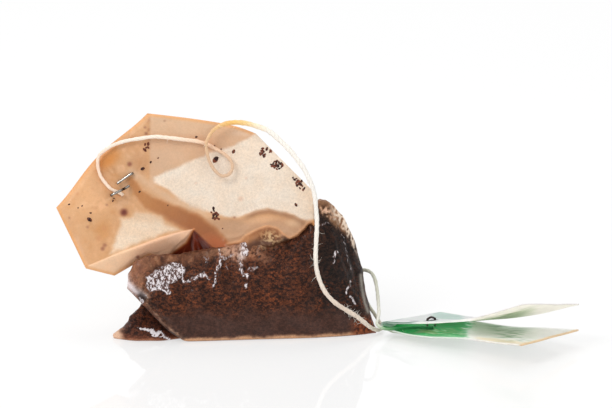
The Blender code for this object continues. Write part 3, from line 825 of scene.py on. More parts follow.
def front_colours(points, side, share):
    u, v = plane_of(points)
    facing = ease(-side, -0.3, 0.3)
    soft, grit = edge_noise(points)
    low = ease(5.4 - v + soft * 2.5, -0.4, 3.2)
    tint = Layers(TEA, len(points))
    tint.add(TEA_RIGHT, ease(u + soft * 2, 17.5, 22.5))
    tint.add(TEA_LOW, low)

    # the slack film along the ridge and at the crushed left end, with its pale rim: thin empty
    # paper, painted lilac-white as the light that shines through it
    edge = np.interp(u, *zip(*FRONT_TOP_EDGE))
    film = (1 - ease(edge - v + soft * 2.0, 1.2, 4.2)) * (1 - ease(u, 11.5, 15.0))
    film = np.maximum(film * facing, (1 - facing) * ease(share + soft * 0.1, 0.72, 0.95))
    filmy(tint, film, points, 60.0)
    left = ease(-u + soft * 1.5, 12.0, 15.5) * ease(v, 3.0, 7.0)
    filmy(tint, left * 0.9, points, 66.0)
    tint.add(FILM_LEFT, left * 0.5)
    away, _ = line_distance(u, v, LEFT_RIM)
    lilac = soft_line(away + soft * 0.3, 0.85) * facing
    tint.add(LILAC, lilac * 0.95)

    # the edge that runs down from the knot, and painted shade in the knot's dark folds
    away, _ = line_distance(u, v, DIAGONAL)
    beside = soft_line(away + soft * 0.5, 0.8) * ease(lumps(points, 1.1, 27.0), -0.35, 0.15)
    diagonal = soft_line(away + lumps(points, 0.9, 29.0) * 0.3, 0.20)
    tint.add((126, 92, 74), beside * 0.5)
    tint.add((180, 142, 116), diagonal * (0.45 + 0.4 * ease(lumps(points, 1.4, 28.0), -0.2, 0.2)))
    knot = spot(u, v, (-14.6, 6.9), (0.8, 1.1), 30) * facing
    tint.add((30, 20, 18), knot * 0.8)

    # pale places below the head, where air lies under the film, and among them one painted
    # highlight
    pale = ease(v - edge + soft * 0.4, -0.1, 0.5) * between(u, 3.5, 8.0, 12.0, 14.0) * facing
    tint.add(PALE, pale)
    ragged = ease(soft, -0.6, -0.1) * ease(grit, -0.5, -0.1) * facing
    slack = np.zeros_like(u)
    for middle, size, colour, strength in FILM_PATCHES:
        patch = spot(u, v, middle, size, -12) * ragged * strength
        tint.add(colour, patch)
        slack = np.maximum(slack, patch)
    bump = spot(u, v, (10.9, 18.4), (3.2, 1.6), 20) * facing
    tint.add((150, 104, 72), bump * 0.8)
    tint.add((220, 192, 150), ease(lumps(points, 1.3, 9.9), 0.15, 0.5) * bump * 0.8)

    # the ridge's tip at the right, with crumbs behind the paper, and its cream rim: thin empty
    # paper, painted pale as the light that shines through it
    tip = ease(v + 0.9 * (u - 22.0) + soft, 21.6, 23.6) * between(u, 18.8, 19.8, 25.0, 28.0)
    tint.add((156, 112, 80), tip * 0.9)
    crumbs = tip * spot(u, v, (22.0, 23.7), (2.0, 1.2), -25)
    tint.add((44, 26, 18), crumbs * ease(grit, -0.02, 0.14) * 0.95)
    tint.add((240, 196, 166), crumbs * ease(-grit, 0.06, 0.2) * 0.95)
    right_rim = ease(share + grit * 0.06, 0.90, 0.965) * between(u, 22.0, 24.0, 27.0, 29.0)
    tint.add(RIM_CREAM, right_rim * ease(grit, -0.30, -0.1) * 0.95)
    away, _ = line_distance(u, v, STRING_BEHIND)
    behind = soft_line(away, 0.42) * facing
    tint.add((168, 164, 154), behind * 0.8)

    # the orange hem along the table, darkest where it touches, and the right corner
    hem = 1 - ease(points[:, 2] + soft * 0.6 + grit * 0.15, 0.45, 1.25)
    hem = hem * ease(points[:, 0], -9.0, -6.0)
    tint.add(HEM, hem * 0.9)
    tint.add((120, 74, 50), (1 - ease(points[:, 2], 0.05, 0.30)) * hem * 0.8)
    corner = ease(u + soft, 26.0, 28.6) * (1 - ease(v - 0.25 * (u - 28), 1.4, 3.2))
    tint.add(CORNER, corner * 0.9)
    tint.add((196, 112, 70), corner * ease(grit, 0.0, 0.3) * 0.5)
    tint.add((50, 26, 20), corner * ease(-grit, 0.15, 0.4) * 0.8)

    solid = np.maximum.reduce([film * 0.80, slack, left * 0.6, lilac, knot, pale, bump, right_rim,
                               hem, corner * 0.7, tip * 0.8, behind, diagonal * 0.8])
    rust = (1 - 0.80 * ease(u + soft * 2, 14.0, 20.0) * ease(v, 6.0, 12.0)) * (1 - 0.85 * low)
    return {"grain": (1 - 0.55 * low) * (1 - solid), "rust": rust,
            "sparkle": glints(u, v, points, PAINTED_SPARKLES) * facing}, tint.seen


def rear_colours(points, side, share):
    u, v = plane_of(points)
    soft, grit = edge_noise(points)
    tint = Layers((84, 46, 33), len(points))
    film = ease(share + soft * 0.12, 0.80, 1.0) * ease(u, -16.0, -10.0)
    filmy(tint, film, points, 70.0)
    low = 1 - ease(points[:, 2] + soft, 0.6, 2.0)
    tint.add((128, 72, 50), low * 0.7)
    tip = ease(-u + soft * 1.2, 17.8, 19.6)
    hem = 1 - ease(points[:, 2] + soft * 0.5 + grit * 0.15, 0.2, 0.9)
    tint.add((190, 132, 98), hem * 0.8)
    tint.add((232, 190, 160), tip)
    tint.add((128, 76, 54), (1 - ease(points[:, 2], 0.05, 0.25)) * (1 - 0.6 * tip) * 0.8)
    return {"grain": (1 - np.maximum.reduce([film * 0.85, hem, tip])) * (1 - 0.5 * low),
            "rust": 0.7 * (1 - low),
            "sparkle": glints(u, v, points, REAR_PAINTED_SPARKLES) * ease(-side, -0.3, 0.3)}, tint.seen


def rear_move(points, side, share):
    return crumpled(points, share, 13.1) * ease(share, 0.0, 0.08) + hemmed(points)


# %% [markdown]
# The shader for wet leaves behind paper mixes three sizes of cells: rusty leaf bits, near-black
# ones between them, and a fine grain. A clear coat over it is the film of water, and it is the
# coat's small bumps that break the studio lights into glints. Along the sparkle mask, glints are
# also painted into the colour: a pale painted sheen with painted bright and dark streaks.

# %% Chamber material
def wet_tea():
    made = Finish("tea_behind_wet_paper", Specular_IOR_Level=0.16, Coat_Roughness=0.08,
                  Coat_IOR=1.33)
    grain, sparkle, rust = (made.attribute(name) for name in ("grain", "sparkle", "rust"))

    # leaves: rusty bits, near-black ones between them, and a fine grain
    wander = made.node("ShaderNodeVectorMath", {"operation": "SCALE"}, {
        0: made.noise(1700, 2).out("Color"), "Scale": 0.0008})
    wander = made.node("ShaderNodeVectorMath", {"operation": "ADD"}, {0: made.place, 1: wander})
    leaves = made.node("ShaderNodeTexVoronoi", {}, {"Vector": wander, "Scale": 2400})
    leaf = made.node("ShaderNodeSeparateColor", {}, {"Color": leaves.out("Color")})
    dust = made.noise(2600, 4, 0.7)
    rusty = made.ramp(leaf * 0.55 + dust * 0.45, 0.44, 0.58)
    rusty = rusty * made.ramp(made.noise(300, 3, 0.6), 0.38, 0.60, 0.22, 1.0) * rust
    black = made.ramp(made.noise(1700, 4, 0.75, (0.8, 1.0, 1.25)), 0.44, 0.57)
    colour = made.attribute("tint", "Color")
    colour = made.mix(grain * rusty * 0.60, colour, srgb(130, 68, 38))
    colour = made.mix(grain * black * 0.80, colour, srgb(17, 14, 15))
    fine = made.noise(4200, 2, 0.6)
    tone = made.ramp(fine, 0.3, 0.7, 0.68, 1.34)
    tone = tone * made.ramp(made.noise(620, 3, 0.6), 0.36, 0.64, 0.70, 1.26)
    colour = made.mix(grain * 0.5 + 0.3, colour, made.toned(colour, tone))

    # painted glints where wet paper clings to them: a pale painted sheen, and painted bright and
    # dark streaks in it
    veil = made.ramp(sparkle, 0.15, 0.9)
    whole = made.ramp(sparkle, 1.05, 1.3)
    glint = made.noise(1900, 3, 0.7, (1.35, 1.0, 0.75), -32.0)
    bright = (made.ramp(glint, 0.48, 0.54) + whole) * veil * 0.92
    dark = made.ramp(glint, 0.47, 0.40) * veil * (1 - whole) * 0.6
    colour = made.mix(veil * 0.45, colour, srgb(132, 106, 102))
    colour = made.mix(bright, colour, srgb(240, 233, 236))
    colour = made.mix(dark, colour, srgb(66, 42, 36))
    height = leaves.out("Distance") * -0.6 + fine * 0.35 + made.noise(1100, 3, 0.6) * 0.8
    return made.set(
        Base_Color=colour,
        Roughness=made.ramp(sparkle, 0.1, 0.7, 0.50, 0.30) + grain * 0.05,
        Coat_Weight=made.ramp(made.noise(260, 2), 0.35, 0.65, 0.04, 0.32) + veil * 0.35,
        Normal=made.bump(height, 0.00035, 0.5))


WET_TEA = wet_tea()
front_chamber = make_chamber("front_chamber_skin", FRONT_CHAMBER, FRONT_LEAN, FRONT_GRID, NO_FOOT,
                             creased, front_colours, WET_TEA)
rear_chamber = make_chamber("rear_chamber_skin", REAR_CHAMBER, REAR_LEAN, REAR_GRID, REAR_FOOT,
                            rear_move, rear_colours, WET_TEA)

# %% [markdown]
# Inside the skins are the two packed charges of leaves. Their shape is right as it was modelled, so
# they stay as they are and only get a finish: wet leaf, near black between rusty bits.

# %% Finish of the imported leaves
def packed_leaves():
    made = Finish("packed_wet_leaves", Coat_Weight=0.2, Coat_Roughness=0.3, Specular_IOR_Level=0.3)
    bits = made.noise(1900, 4, 0.7)
    colour = made.mix(made.ramp(bits, 0.42, 0.58), srgb(26, 18, 16), srgb(112, 60, 36))
    return made.set(Base_Color=colour, Roughness=0.6, Normal=made.bump(bits, 0.0004, 0.6))


PACKED_LEAVES = packed_leaves()
for name in ("front_tea_charge", "rear_tea_charge"):
    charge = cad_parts[name].data
    charge.materials.clear()
    charge.materials.append(PACKED_LEAVES)
    print(name, "faces", len(charge.polygons))

# %% [markdown]
# ## The paper head
# Above the chambers the bag is an empty tube of filter paper, pressed flat. Its top corners are
# folded in, the top edge is folded over behind, and a staple holds the fold. It is drawn along
# (towards its folded top) and across, in a plane that leans back. The wings bend away from a rolled
# seam in the middle.

# %% Head outline and surface
HEAD_THICKNESS = 1.1
HEAD_TURN = math.radians(45.9)
HEAD_ORIGIN = (-18.3, 29.4)
HEAD_DEPTH = -3.6
TOP_FOLD = 6.4
TOP_HALF = 13.3
NECK_SWELL = 2.8
FLAP_LENGTH = 10.0
FLAP_END_HALF = 6.8
FLAP_THICKNESS = 1.1
VALLEY_WIDTH = 1.6
RIGHT_WING_SLOPE = math.tan(math.radians(7))
LEFT_WING_SLOPES = (math.tan(math.radians(5)), math.tan(math.radians(27)))
LEFT_WING_TURN = 18.0
CREASE_FROM = (-8.3, -12.3)
CREASE_TO = (-16.0, 3.0)
CREASE_SLOPE = 1.1
CREASE_FADE = (-3.0, 3.0)
HEAD_ROWS = [  # left and right ends of each row, as (along, across), from the folded top down
    ((TOP_FOLD, -TOP_HALF + 0.5), (TOP_FOLD, TOP_HALF)),
    ((-6.4, -17.2), (-6.4, 21.8)),
    ((-11.4, -14.4), (-11.9, 25.4)),
    ((-13.6, -6.7), (-28.0, 25.1)),
    ((-18.8, -6.0), (-37.5, 16.3)),
]
TURN = (math.cos(HEAD_TURN), math.sin(HEAD_TURN))


def head_depth(along, across):
    """How far the head's middle surface lies behind its plane."""
    away = np.sqrt(across ** 2 + VALLEY_WIDTH ** 2) - VALLEY_WIDTH
    share = np.clip((TOP_FOLD - along) / LEFT_WING_TURN, 0, 1)
    flat, steep = LEFT_WING_SLOPES
    depth = np.where(across > 0, -away * RIGHT_WING_SLOPE, -away * (flat + (steep - flat) * share))
    run = (CREASE_TO[0] - CREASE_FROM[0], CREASE_TO[1] - CREASE_FROM[1])
    past = (across - CREASE_FROM[1]) * run[0] - (along - CREASE_FROM[0]) * run[1]
    past = past / math.hypot(*run)
    full, nothing = CREASE_FADE
    fade = np.clip((nothing - across) / (nothing - full), 0, 1)
    soft = 0.5 * (past + np.sqrt(past ** 2 + 0.15 ** 2))
    return depth + CREASE_SLOPE * fade * soft


def plane_from_head(along, across):
    u = HEAD_ORIGIN[0] + across * TURN[0] - along * TURN[1]
    v = HEAD_ORIGIN[1] + across * TURN[1] + along * TURN[0]
    return u, v


def head_grid(rows, steps, columns):
    """(along, across) of a grid over the rows, and each point's place down (1 per row) and over."""
    lines, down = [], []
    for n, ((a, b), count) in enumerate(zip(zip(rows, rows[1:]), steps)):
        for t in np.linspace(0, 1, count, endpoint=n == len(steps) - 1):
            lines.append([(1 - t) * np.array(p) + t * np.array(q) for p, q in zip(a, b)])
            down.append(n + t)
    over = np.linspace(0, 1, columns)
    grid = np.array([[(1 - t) * left + t * right for t in over] for left, right in lines])
    down, over = np.meshgrid(down, over, indexing="ij")
    return grid[..., 0], grid[..., 1], down, over


def bowed(along, across, down, over):
    """The folded edges aren't quite straight: the top and the right one swell a little."""
    top = np.clip(1 - down, 0, 1) ** 2 * np.sin(math.pi * over) ** 2 * 1.2
    right = np.clip(over * 2 - 1, 0, 1) ** 3 * np.sin(math.pi * np.clip(down / 2, 0, 1)) * 0.9
    return along + top, across + right


# %% [markdown]
# Wet filter paper shows how many layers lie behind each other. One double layer looks like a cream
# window, the folded-in corners and the flap make it peach, and the rolled seam is darkest. These
# areas are outlined on the head's plane, and each one both tints the paper and raises it a little.

# %% Drawn areas of the head
RIGHT_WINDOW = [
    (-12.6, 30.8), (-8.7, 32.5), (-3.3, 34.5), (-0.9, 35.8), (2.7, 36.9), (5.3, 38.0), (8.1, 39.4),
    (24.0, 30.0), (19.7, 22.0), (16.7, 22.2), (15.3, 23.0), (12.7, 23.7), (10.5, 24.2),
    (8.3, 23.9), (4.7, 22.7), (2.3, 22.6), (-1.3, 23.6), (-4.4, 24.4), (-7.3, 26.1), (-10.0, 28.3),
    (-12.2, 29.6),
]
LEFT_WINDOW = [
    (-16.2, 23.8), (-15.1, 23.9), (-12.0, 23.3), (-6.7, 20.1), (-11.1, 18.8), (-20.7, 15.3),
    (-21.2, 15.4), (-20.5, 17.9), (-19.5, 20.3), (-19.1, 22.5), (-17.7, 23.0),
]
STRIP = [
    (-4.4, 20.4), (-7.1, 19.9), (-11.1, 18.8), (-15.5, 17.1), (-20.2, 15.3), (-22.4, 14.3),
    (-26.5, 12.6), (-27.5, 8.0), (-22.0, 8.0), (-18.0, 11.5), (-15.1, 12.8), (-12.0, 14.0),
    (-8.9, 15.4), (-6.0, 17.6),
]
FOLD_INSIDE = [(-4.6, 20.3), (-0.6, 16.6), (-1.5, 14.0), (-10.0, 14.0), (-8.6, 16.4), (-5.9, 18.7)]
VALLEY = [(-17.1, 30.2), (-15.5, 27.6), (-13.3, 25.6), (-10.3, 24.4), (-6.9, 22.7), (-4.1, 21.3),
          (-1.3, 19.0), (0.5, 17.0)]
HAZY_SEAM = [(-16.9, 31.6), (-12.7, 28.8), (-9.3, 26.4), (-3.3, 23.9), (1.7, 21.0)]
STRIP_EDGE = [(-18.0, 11.5), (-15.1, 12.8), (-12.0, 14.0), (-8.9, 15.4), (-6.0, 17.6), (-4.4, 20.4)]
CORNER_FOLD = [(-13.1, 44.0), (-13.1, 38.8), (-12.9, 35.5)]
LEFT_CREASES = [  # soft creases that run out from the staple
    [(-22.0, 33.4), (-19.8, 30.6)], [(-19.0, 27.6), (-23.4, 25.2), (-28.6, 24.4)],
    [(-16.0, 30.0), (-14.6, 33.4), (-14.2, 36.0)],
]
ARC = [
    (4.8, 22.3), (8.3, 23.7), (10.5, 24.0), (12.7, 23.5), (15.3, 22.8), (17.0, 21.8), (17.6, 20.6),
]
NECK_SWELLING = [
    (2.1, 17.4), (4.7, 18.0), (5.9, 19.1), (7.7, 20.1), (9.7, 20.9), (10.5, 21.0), (12.1, 20.6),
    (13.7, 19.2), (14.6, 18.6), (16.3, 19.5), (18.3, 21.6), (19.6, 22.1), (21.0, 14.0), (1.0, 14.0),
]
BEHIND_RIDGE = [(8.0, 16.6), (11.0, 17.0), (13.0, 17.8), (14.3, 18.2), (16.3, 19.2), (18.3, 21.3),
                (19.6, 21.9), (22.0, 23.0), (27.0, 12.0), (8.0, 12.0)]
FOLD_TIP = (-4.7, 20.4)
STAINS = [  # (u, v, size, strength) of spots seen through the paper
    (-17.2, 33.3, 0.8, 0.6), (-18.3, 23.7, 1.2, 0.95), (-15.5, 14.8, 0.6, 0.6),
    (4.9, 26.4, 0.9, 0.25), (-22.4, 16.5, 0.7, 0.45), (3.7, 22.7, 0.4, 0.4),
    (-29.1, 22.6, 0.4, 0.3), (-25.5, 20.8, 0.5, 0.3), (-14.1, 40.6, 0.4, 0.45),
    (-13.9, 39.4, 0.5, 0.5), (-14.0, 38.6, 0.4, 0.4), (-10.2, 41.9, 0.4, 0.3),
    (-21.7, 25.2, 0.4, 0.35), (-22.2, 20.6, 0.9, 0.26), (6.0, 30.5, 0.5, 0.2),
    (-4.0, 29.5, 0.5, 0.2), (-22.0, 17.2, 0.7, 0.4), (-23.2, 18.6, 0.9, 0.26),
    (-27.6, 27.4, 0.6, 0.26), (-24.6, 28.4, 0.5, 0.26),
]
HEAD_EDGE_GLOW = 0.9
PEACH, FLAP_TINT, WINDOW_TINT = (214, 164, 120), (220, 182, 148), (238, 221, 202)
VALLEY_TINT, VALLEY_DEEP, SEAM_TINT = (188, 128, 78), (156, 92, 52), (220, 184, 152)
STRIP_TINT, STRIP_LEFT, INSIDE_TINT = (255, 206, 170), (252, 210, 170), (114, 38, 16)
GLOW_TINT = (236, 168, 106)


# %% Masks of the drawn areas
def fold_streaks(u, v):
    """Irregular creases that fan out from the fold's upper end, from about -1 to 1."""
    du, dv = u - FOLD_TIP[0], FOLD_TIP[1] - v
    turn = np.arctan2(du, np.maximum(dv, 0.05))
    fan = sheet_points(turn * 4.0, np.hypot(du, dv) * 0.12)
    return mixed_lumps(fan, (1.0, 1.0, 80.0), (0.6, 0.4, 83.0))


def head_features(u, v):
    """Masks of the drawn areas, from 0 to 1."""
    wobble = mixed_lumps(sheet_points(u, v), (0.35, 2.2, 4.0), (0.15, 0.8, 9.0))
    seam, down_seam = line_distance(u, v, VALLEY)
    half = np.interp(down_seam, [0, 0.25, 0.6, 1], [0.7, 1.3, 1.6, 1.8])
    outer = half + 0.4 + 0.5 * ease(down_seam, 0.3, 0.7)
    hazy, down_hazy = line_distance(u, v, HAZY_SEAM)
    arc, down_arc = line_distance(u, v, ARC)
    return {
        "right": ease(depth_inside(u, v, RIGHT_WINDOW) + wobble, -0.35, 0.55),
        "left": ease(depth_inside(u, v, LEFT_WINDOW) + wobble * 1.6, -0.4, 1.1),
        "strip": ease(depth_inside(u, v, STRIP), -0.15, 0.15),
        "inside": ease(depth_inside(u, v, FOLD_INSIDE), -0.25, 0.25),
        "swelling": ease(depth_inside(u, v, NECK_SWELLING), -0.15, 0.15),
        "valley": 1 - ease(seam + wobble * 0.7, half - 0.6, outer),
        "seam_depth": ease(down_seam, 0.2, 0.8),
        "hazy": soft_line(hazy + wobble * 0.5, 0.9) * ease(1 - down_hazy, 0.0, 0.3),
        "arc": (soft_line(arc + wobble * 0.3, 0.5)
                * ease(down_arc, 0.0, 0.2) * ease(1 - down_arc, -0.1, 0.1)),
        "fan": fold_streaks(u, v),
    }


# %% Relief of the head
def head_relief(u, v, f):
    """How far the front sheet stands out towards the viewer, in millimetres."""
    points = sheet_points(u, v)
    rise = mixed_lumps(points, (0.16, 6.0, 2.0), (0.05, 1.6, 6.0))
    rise += 0.30 * f["valley"] + 0.16 * f["hazy"] - 0.05 * f["right"] - 0.05 * f["left"]
    rise += 0.42 * f["strip"] - 0.5 * f["inside"]
    swollen = 0.55 + 0.35 * lumps(points, 2.6, 12.0) + 0.25 * ridges(points, 1.6, 14.0)
    rise += f["swelling"] * swollen
    rise -= 2.3 * ease(depth_inside(u, v, BEHIND_RIDGE), -0.3, 0.5)
    rise += 0.40 * f["inside"] * np.clip(f["fan"], -1, 1)
    for line in LEFT_CREASES:
        away, _ = line_distance(u, v, line)
        rise += 0.03 * soft_line(away, 0.35)
    rise += 0.10 * ease(-13.1 - u, -0.12, 0.12) * ease(v, 31.0, 34.0)
    arc, _ = line_distance(u, v, ARC)
    rise += 0.35 * f["arc"] - 0.25 * soft_line(arc - 1.2, 0.8)
    low = ease(22.5 - v, 0.0, 4.0) * ease(u, -1.0, 4.0)
    rise += low * 0.5 * (ridges(points, 3.0, 3.3) - 0.4)
    return rise


# %% Colours of the head
def head_tint(u, v, f, edge):
    """The colour seen at each point. edge is the distance from the paper's outline."""
    points = sheet_points(u, v)
    cloud = mixed_lumps(points, (0.6, 4.0, 1.0), (0.4, 1.5, 5.0))
    tint = Layers(PEACH, len(u))
    brown = mixed_lumps(points, (0.6, 2.4, 31.0), (0.4, 0.9, 33.0))
    left = ease(-u, 13.2, 14.8)
    tint.add((200, 140, 84), left * ease(brown, 0.05, 0.45) * 0.5)
    tint.add((236, 190, 152), left * ease(-brown, 0.05, 0.45) * 0.5)
    tint.add((208, 156, 108), ease(-u, 19.0, 22.0) * (1 - ease(v, 23.4, 25.0)) * 0.45)
    tint.add((238, 184, 134), ease(-u - 0.3 * v, 11.0, 18.0) * ease(v, 21.0, 26.0) * 0.55)
    tint.add((236, 190, 146), left * ease(v, 35.0, 40.0) * ease(v + u, 21.0, 24.0) * 0.5)
    # painted shade beside each soft crease that runs out from the staple, and a painted highlight
    # on it
    for line in LEFT_CREASES:
        away, along = line_distance(u, v, line)
        fade = (1 - ease(along, 0.5, 1.0)) * ease(along + 0.15, 0.0, 0.3)
        fade = fade * ease(brown, -0.4, 0.2)
        tint.add((192, 138, 94), soft_line(away - 0.45, 0.40) * fade * 0.30)
        tint.add((240, 200, 164), soft_line(away, 0.22) * fade * 0.30)
    tint.add((196, 146, 106), spot(u, v, (-15.2, 33.6), (1.9, 2.6)) * 0.55)
    away, _ = line_distance(u, v, CORNER_FOLD)
    marks = soft_line(away + 0.3 * brown, 0.45) * ease(-13.0 - u, -0.15, 0.15)
    tint.add((150, 84, 56), marks * ease(lumps(points, 0.9, 35.0), -0.1, 0.3) * 0.6)
    flap = ease(u, -13.4, -12.8) * ease(v - 0.4 * u, 33.2, 35.2)
    tint.add(FLAP_TINT, flap)
    tint.add((236, 204, 178), flap * ease(u, 1.0, 6.0) * 0.7)
    tint.add((213, 172, 138), flap * ease(39.5 - v, 0, 1.0) * 0.8)
    tint.add(WINDOW_TINT, f["right"])
    tint.add((226, 198, 170), f["right"] * ease(u + 0.4 * v, 25.0, 31.0) * 0.6)
    tint.add((236, 212, 186), f["left"])
    tint.add((220, 184, 150), spot(u, v, (-14.4, 22.8), (3.0, 1.1), -6) * f["left"] * 0.6)
    tint.add(SEAM_TINT, f["hazy"] * 0.7)
    tint.add((194, 151, 117), ease(23.2 - v, 0.0, 1.8) * ease(u, -4.0, 0.0) * (1 - f["right"]))
    tint.add(VALLEY_TINT, f["valley"])
    tint.add(VALLEY_DEEP, f["valley"] * f["seam_depth"] * 0.8)
    # painted shade along the arc's crease
    tint.add((166, 120, 86), f["arc"] * 0.85)
    tint.add((226, 188, 150), spot(u, v, (15.2, 21.6), (1.5, 0.8), -10) * 0.6)
    tint.add((224, 176, 134), spot(u, v, (8.6, 22.2), (3.2, 0.7), 8) * 0.6)
    # reddish wet paper inside the fold, darkened with painted shade of the hollow, with painted
    # highlights and painted shade along its creases
    tint.add(INSIDE_TINT, f["inside"])
    tint.add((206, 124, 84), f["inside"] * ease(f["fan"], 0.05, 0.6) * 0.8)
    tint.add((76, 28, 14), f["inside"] * ease(-f["fan"], 0.15, 0.6) * 0.7)
    tint.add((182, 96, 52), spot(u, v, (0.5, 17.2), (3.2, 1.4), -35) * (1 - f["swelling"]) * 0.8)
    crumbs = ridges(points, 0.9, 15.0) * 0.6 + ridges(points, 0.45, 19.0) * 0.4
    tint.add((158, 102, 64), f["swelling"])
    tint.add((86, 52, 36), f["swelling"] * ease(19.4 - 0.06 * (u - 10) ** 2 - v, 0.0, 1.6) * 0.9)
    tint.add((60, 38, 28), f["swelling"] * spot(u, v, (13.8, 18.2), (1.1, 0.9)) * 0.8)
    creamy = spot(u, v, (10.9, 18.6), (2.3, 1.5), -10)
    tint.add((96, 60, 40), f["swelling"] * creamy * (1 - ease(crumbs, 0.25, 0.45)) * 0.8)
    tint.add((224, 192, 144), f["swelling"] * creamy * ease(crumbs, 0.38, 0.6) * 0.75)
    tint.add((206, 150, 104), f["swelling"] * spot(u, v, (6.2, 18.4), (1.6, 1.0), 20) * 0.6)
    brim = np.abs(depth_inside(u, v, NECK_SWELLING))
    tint.add((226, 170, 124), soft_line(brim, 0.22) * ease(v, 17.0, 18.0) * 0.8)
    # the strip faces down into shade, and its paper is painted lighter to make up for it: painted
    # light
    tint.add(STRIP_TINT, f["strip"])
    tint.add(STRIP_LEFT, f["strip"] * ease(-u, 13, 20) * 0.8)
    # a painted highlight along the strip's lower edge
    away, along = line_distance(u, v, STRIP_EDGE)
    tint.add((236, 146, 84), soft_line(away, 0.22) * ease(along, 0.25, 0.55) * 0.75)
    tint.add((214, 144, 78), spot(u, v, (-21.6, 34.2), (2.6, 1.5), 38))
    tint.add((204, 142, 84), spot(u, v, (-22.4, 20.2), (1.6, 2.2)) * 0.6)
    for x, y, size, strength in STAINS:
        colour = (110, 52, 44) if strength > 0.28 else (198, 130, 92)
        tint.add(colour, spot(u, v, (x, y), (size * 0.6, size * 0.6)) * strength)
    glow = (1 - ease(edge, 0.15, HEAD_EDGE_GLOW)) * (1 - f["right"]) * (1 - f["inside"])
    tint.add(GLOW_TINT, glow * 0.7)
    return tint.seen * (1 + 0.035 * cloud[:, None])


# %% [markdown]
# The head is a tube pressed flat, so it is a front and a back sheet that meet at the edges. Rings
# that run over the front and back behind it close them into one skin, which Solidify would not
# do as well, because the two sheets swell by different amounts near the neck.

# %% Two sheets as one closed skin
def joined(front, back):
    """Two grids as one grid of rings, which run over the front and back behind it."""
    return np.concatenate([front, back[:, ::-1]], axis=1)


def two_sheets(name, front, back, seen, masks, material):
    """A front and a back grid of points, joined round their edges. seen and masks have a pair of
    arrays for them."""
    rings = joined(front, back)
    rows, columns = rings.shape[:2]
    caps = []
    for base in (0, (rows - 1) * columns):
        for i in range(front.shape[1] - 1):
            cap = (base + i, base + i + 1, base + columns - 2 - i, base + columns - 1 - i)
            caps.append(cap if base == 0 else cap[::-1])
    mesh = mesh_of_rings(name, rings.reshape(-1, 3), rows, columns, caps)
    paint(mesh, {key: joined(*pair).ravel() for key, pair in masks.items()},
          joined(*(side.reshape(front.shape) for side in seen)).reshape(-1, 3))
    return add_object(name, mesh, material)


# %% Head mesh
HEAD_STEPS = (60, 30, 70, 40)
HEAD_COLUMNS = 200
EDGE_STEP = 4  # every fourth point of the outline is enough to measure from


def make_head(material):
    along, across, down, over = head_grid(HEAD_ROWS, HEAD_STEPS, HEAD_COLUMNS)
    along, across = bowed(along, across, down, over)
    u, v = plane_from_head(along, across)
    shape = u.shape
    outline = np.concatenate([np.stack(pair, 1) for pair in (
        (u[0], v[0]), (u[1:, -1], v[1:, -1]), (u[::-1, 0], v[::-1, 0]))])[::EDGE_STEP]
    flat_u, flat_v = u.ravel(), v.ravel()
    edge, _ = line_distance(flat_u, flat_v, outline)
    f = head_features(flat_u, flat_v)
    seen = head_tint(flat_u, flat_v, f, edge)
    middle = HEAD_DEPTH + head_depth(along, across)
    swell = NECK_SWELL * np.clip(down - 3, 0, 1)
    lens = (1 - np.abs(2 * over - 1) ** 10) ** 0.5 * np.minimum(1, 0.12 + ease(down, 0.0, 0.12))
    half = HEAD_THICKNESS / 2 * np.maximum(lens, 0.12)
    rise = head_relief(flat_u, flat_v, f).reshape(shape) * ease(edge, 0, 1.2).reshape(shape)
    front = from_plane(u, v, middle - half - rise - 0.4 * swell)
    back = from_plane(u, v, middle + half + swell)
    wet = np.maximum.reduce([f["valley"], f["inside"], f["arc"] * 0.5]).reshape(shape)
    window = np.maximum(f["right"], f["left"]).reshape(shape)
    return two_sheets("paper_head", front, back, (seen, seen),
                      {"wet": (wet, wet), "window": (window, window)}, material)


# %% [markdown]
# The paper itself is long-fibred filter tissue. A stretched noise gives the fibres, which show
# most in the thin windows, and the coat is stronger where the paper is still soaked.

# %% Paper material
def wet_paper():
    made = Finish("wet_filter_paper", Coat_Roughness=0.25, Specular_IOR_Level=0.35)
    window, wet = made.attribute("window"), made.attribute("wet")
    mottle = made.noise(2300, 3, 0.7)
    fibres = made.noise(3000, 2, 0.6, (1.0, 0.35, 2.2))
    cross = made.noise(3000, 2, 0.6, (2.2, 0.35, 1.0))
    cloud = made.noise(260, 4, 0.65)
    grain = made.ramp(mottle, 0.30, 0.70, -0.055, 0.035) * (0.7 + window * 0.9)
    threads = made.ramp(fibres + cross, 0.75, 1.25, -0.03, 0.03) * (0.6 + window * 0.8)
    tone = 1.0 + grain + threads
    warm = made.ramp(cloud, 0.32, 0.68, 0.93, 1.03)
    colour = made.toned(
        made.attribute("tint", "Color"), tone, tone * (warm * 0.5 + 0.5), tone * warm)
    height = mottle + fibres * 0.5 + cross * 0.5
    return made.set(Base_Color=colour, Roughness=made.ramp(wet, 0, 1, 0.58, 0.36),
                    Coat_Weight=made.ramp(made.noise(180, 2), 0.4, 0.7, 0.02, 0.25) + wet * 0.35,
                    Normal=made.bump(height, 0.00014, 0.45))


WET_PAPER = wet_paper()
paper_head = make_head(WET_PAPER)

# %% [markdown]
# Behind, the top of the head is folded over and held down by the staple's crown. This flap narrows
# towards its mouth, because its corners were folded in first. It is the same kind of closed skin: a
# front and a back sheet that meet in thin rounded edges.

# %% Flap behind the head
FLAP_STEPS = (60,)
FLAP_COLUMNS = 110
FLAP_SUNK = 0.25  # its front lies that deep in the head's paper
FLAP_ROWS = [
    ((TOP_FOLD - 0.1, -TOP_HALF + 1.0), (TOP_FOLD - 0.1, TOP_HALF - 0.5)),
    ((TOP_FOLD - FLAP_LENGTH, -FLAP_END_HALF), (TOP_FOLD - FLAP_LENGTH, FLAP_END_HALF)),
]


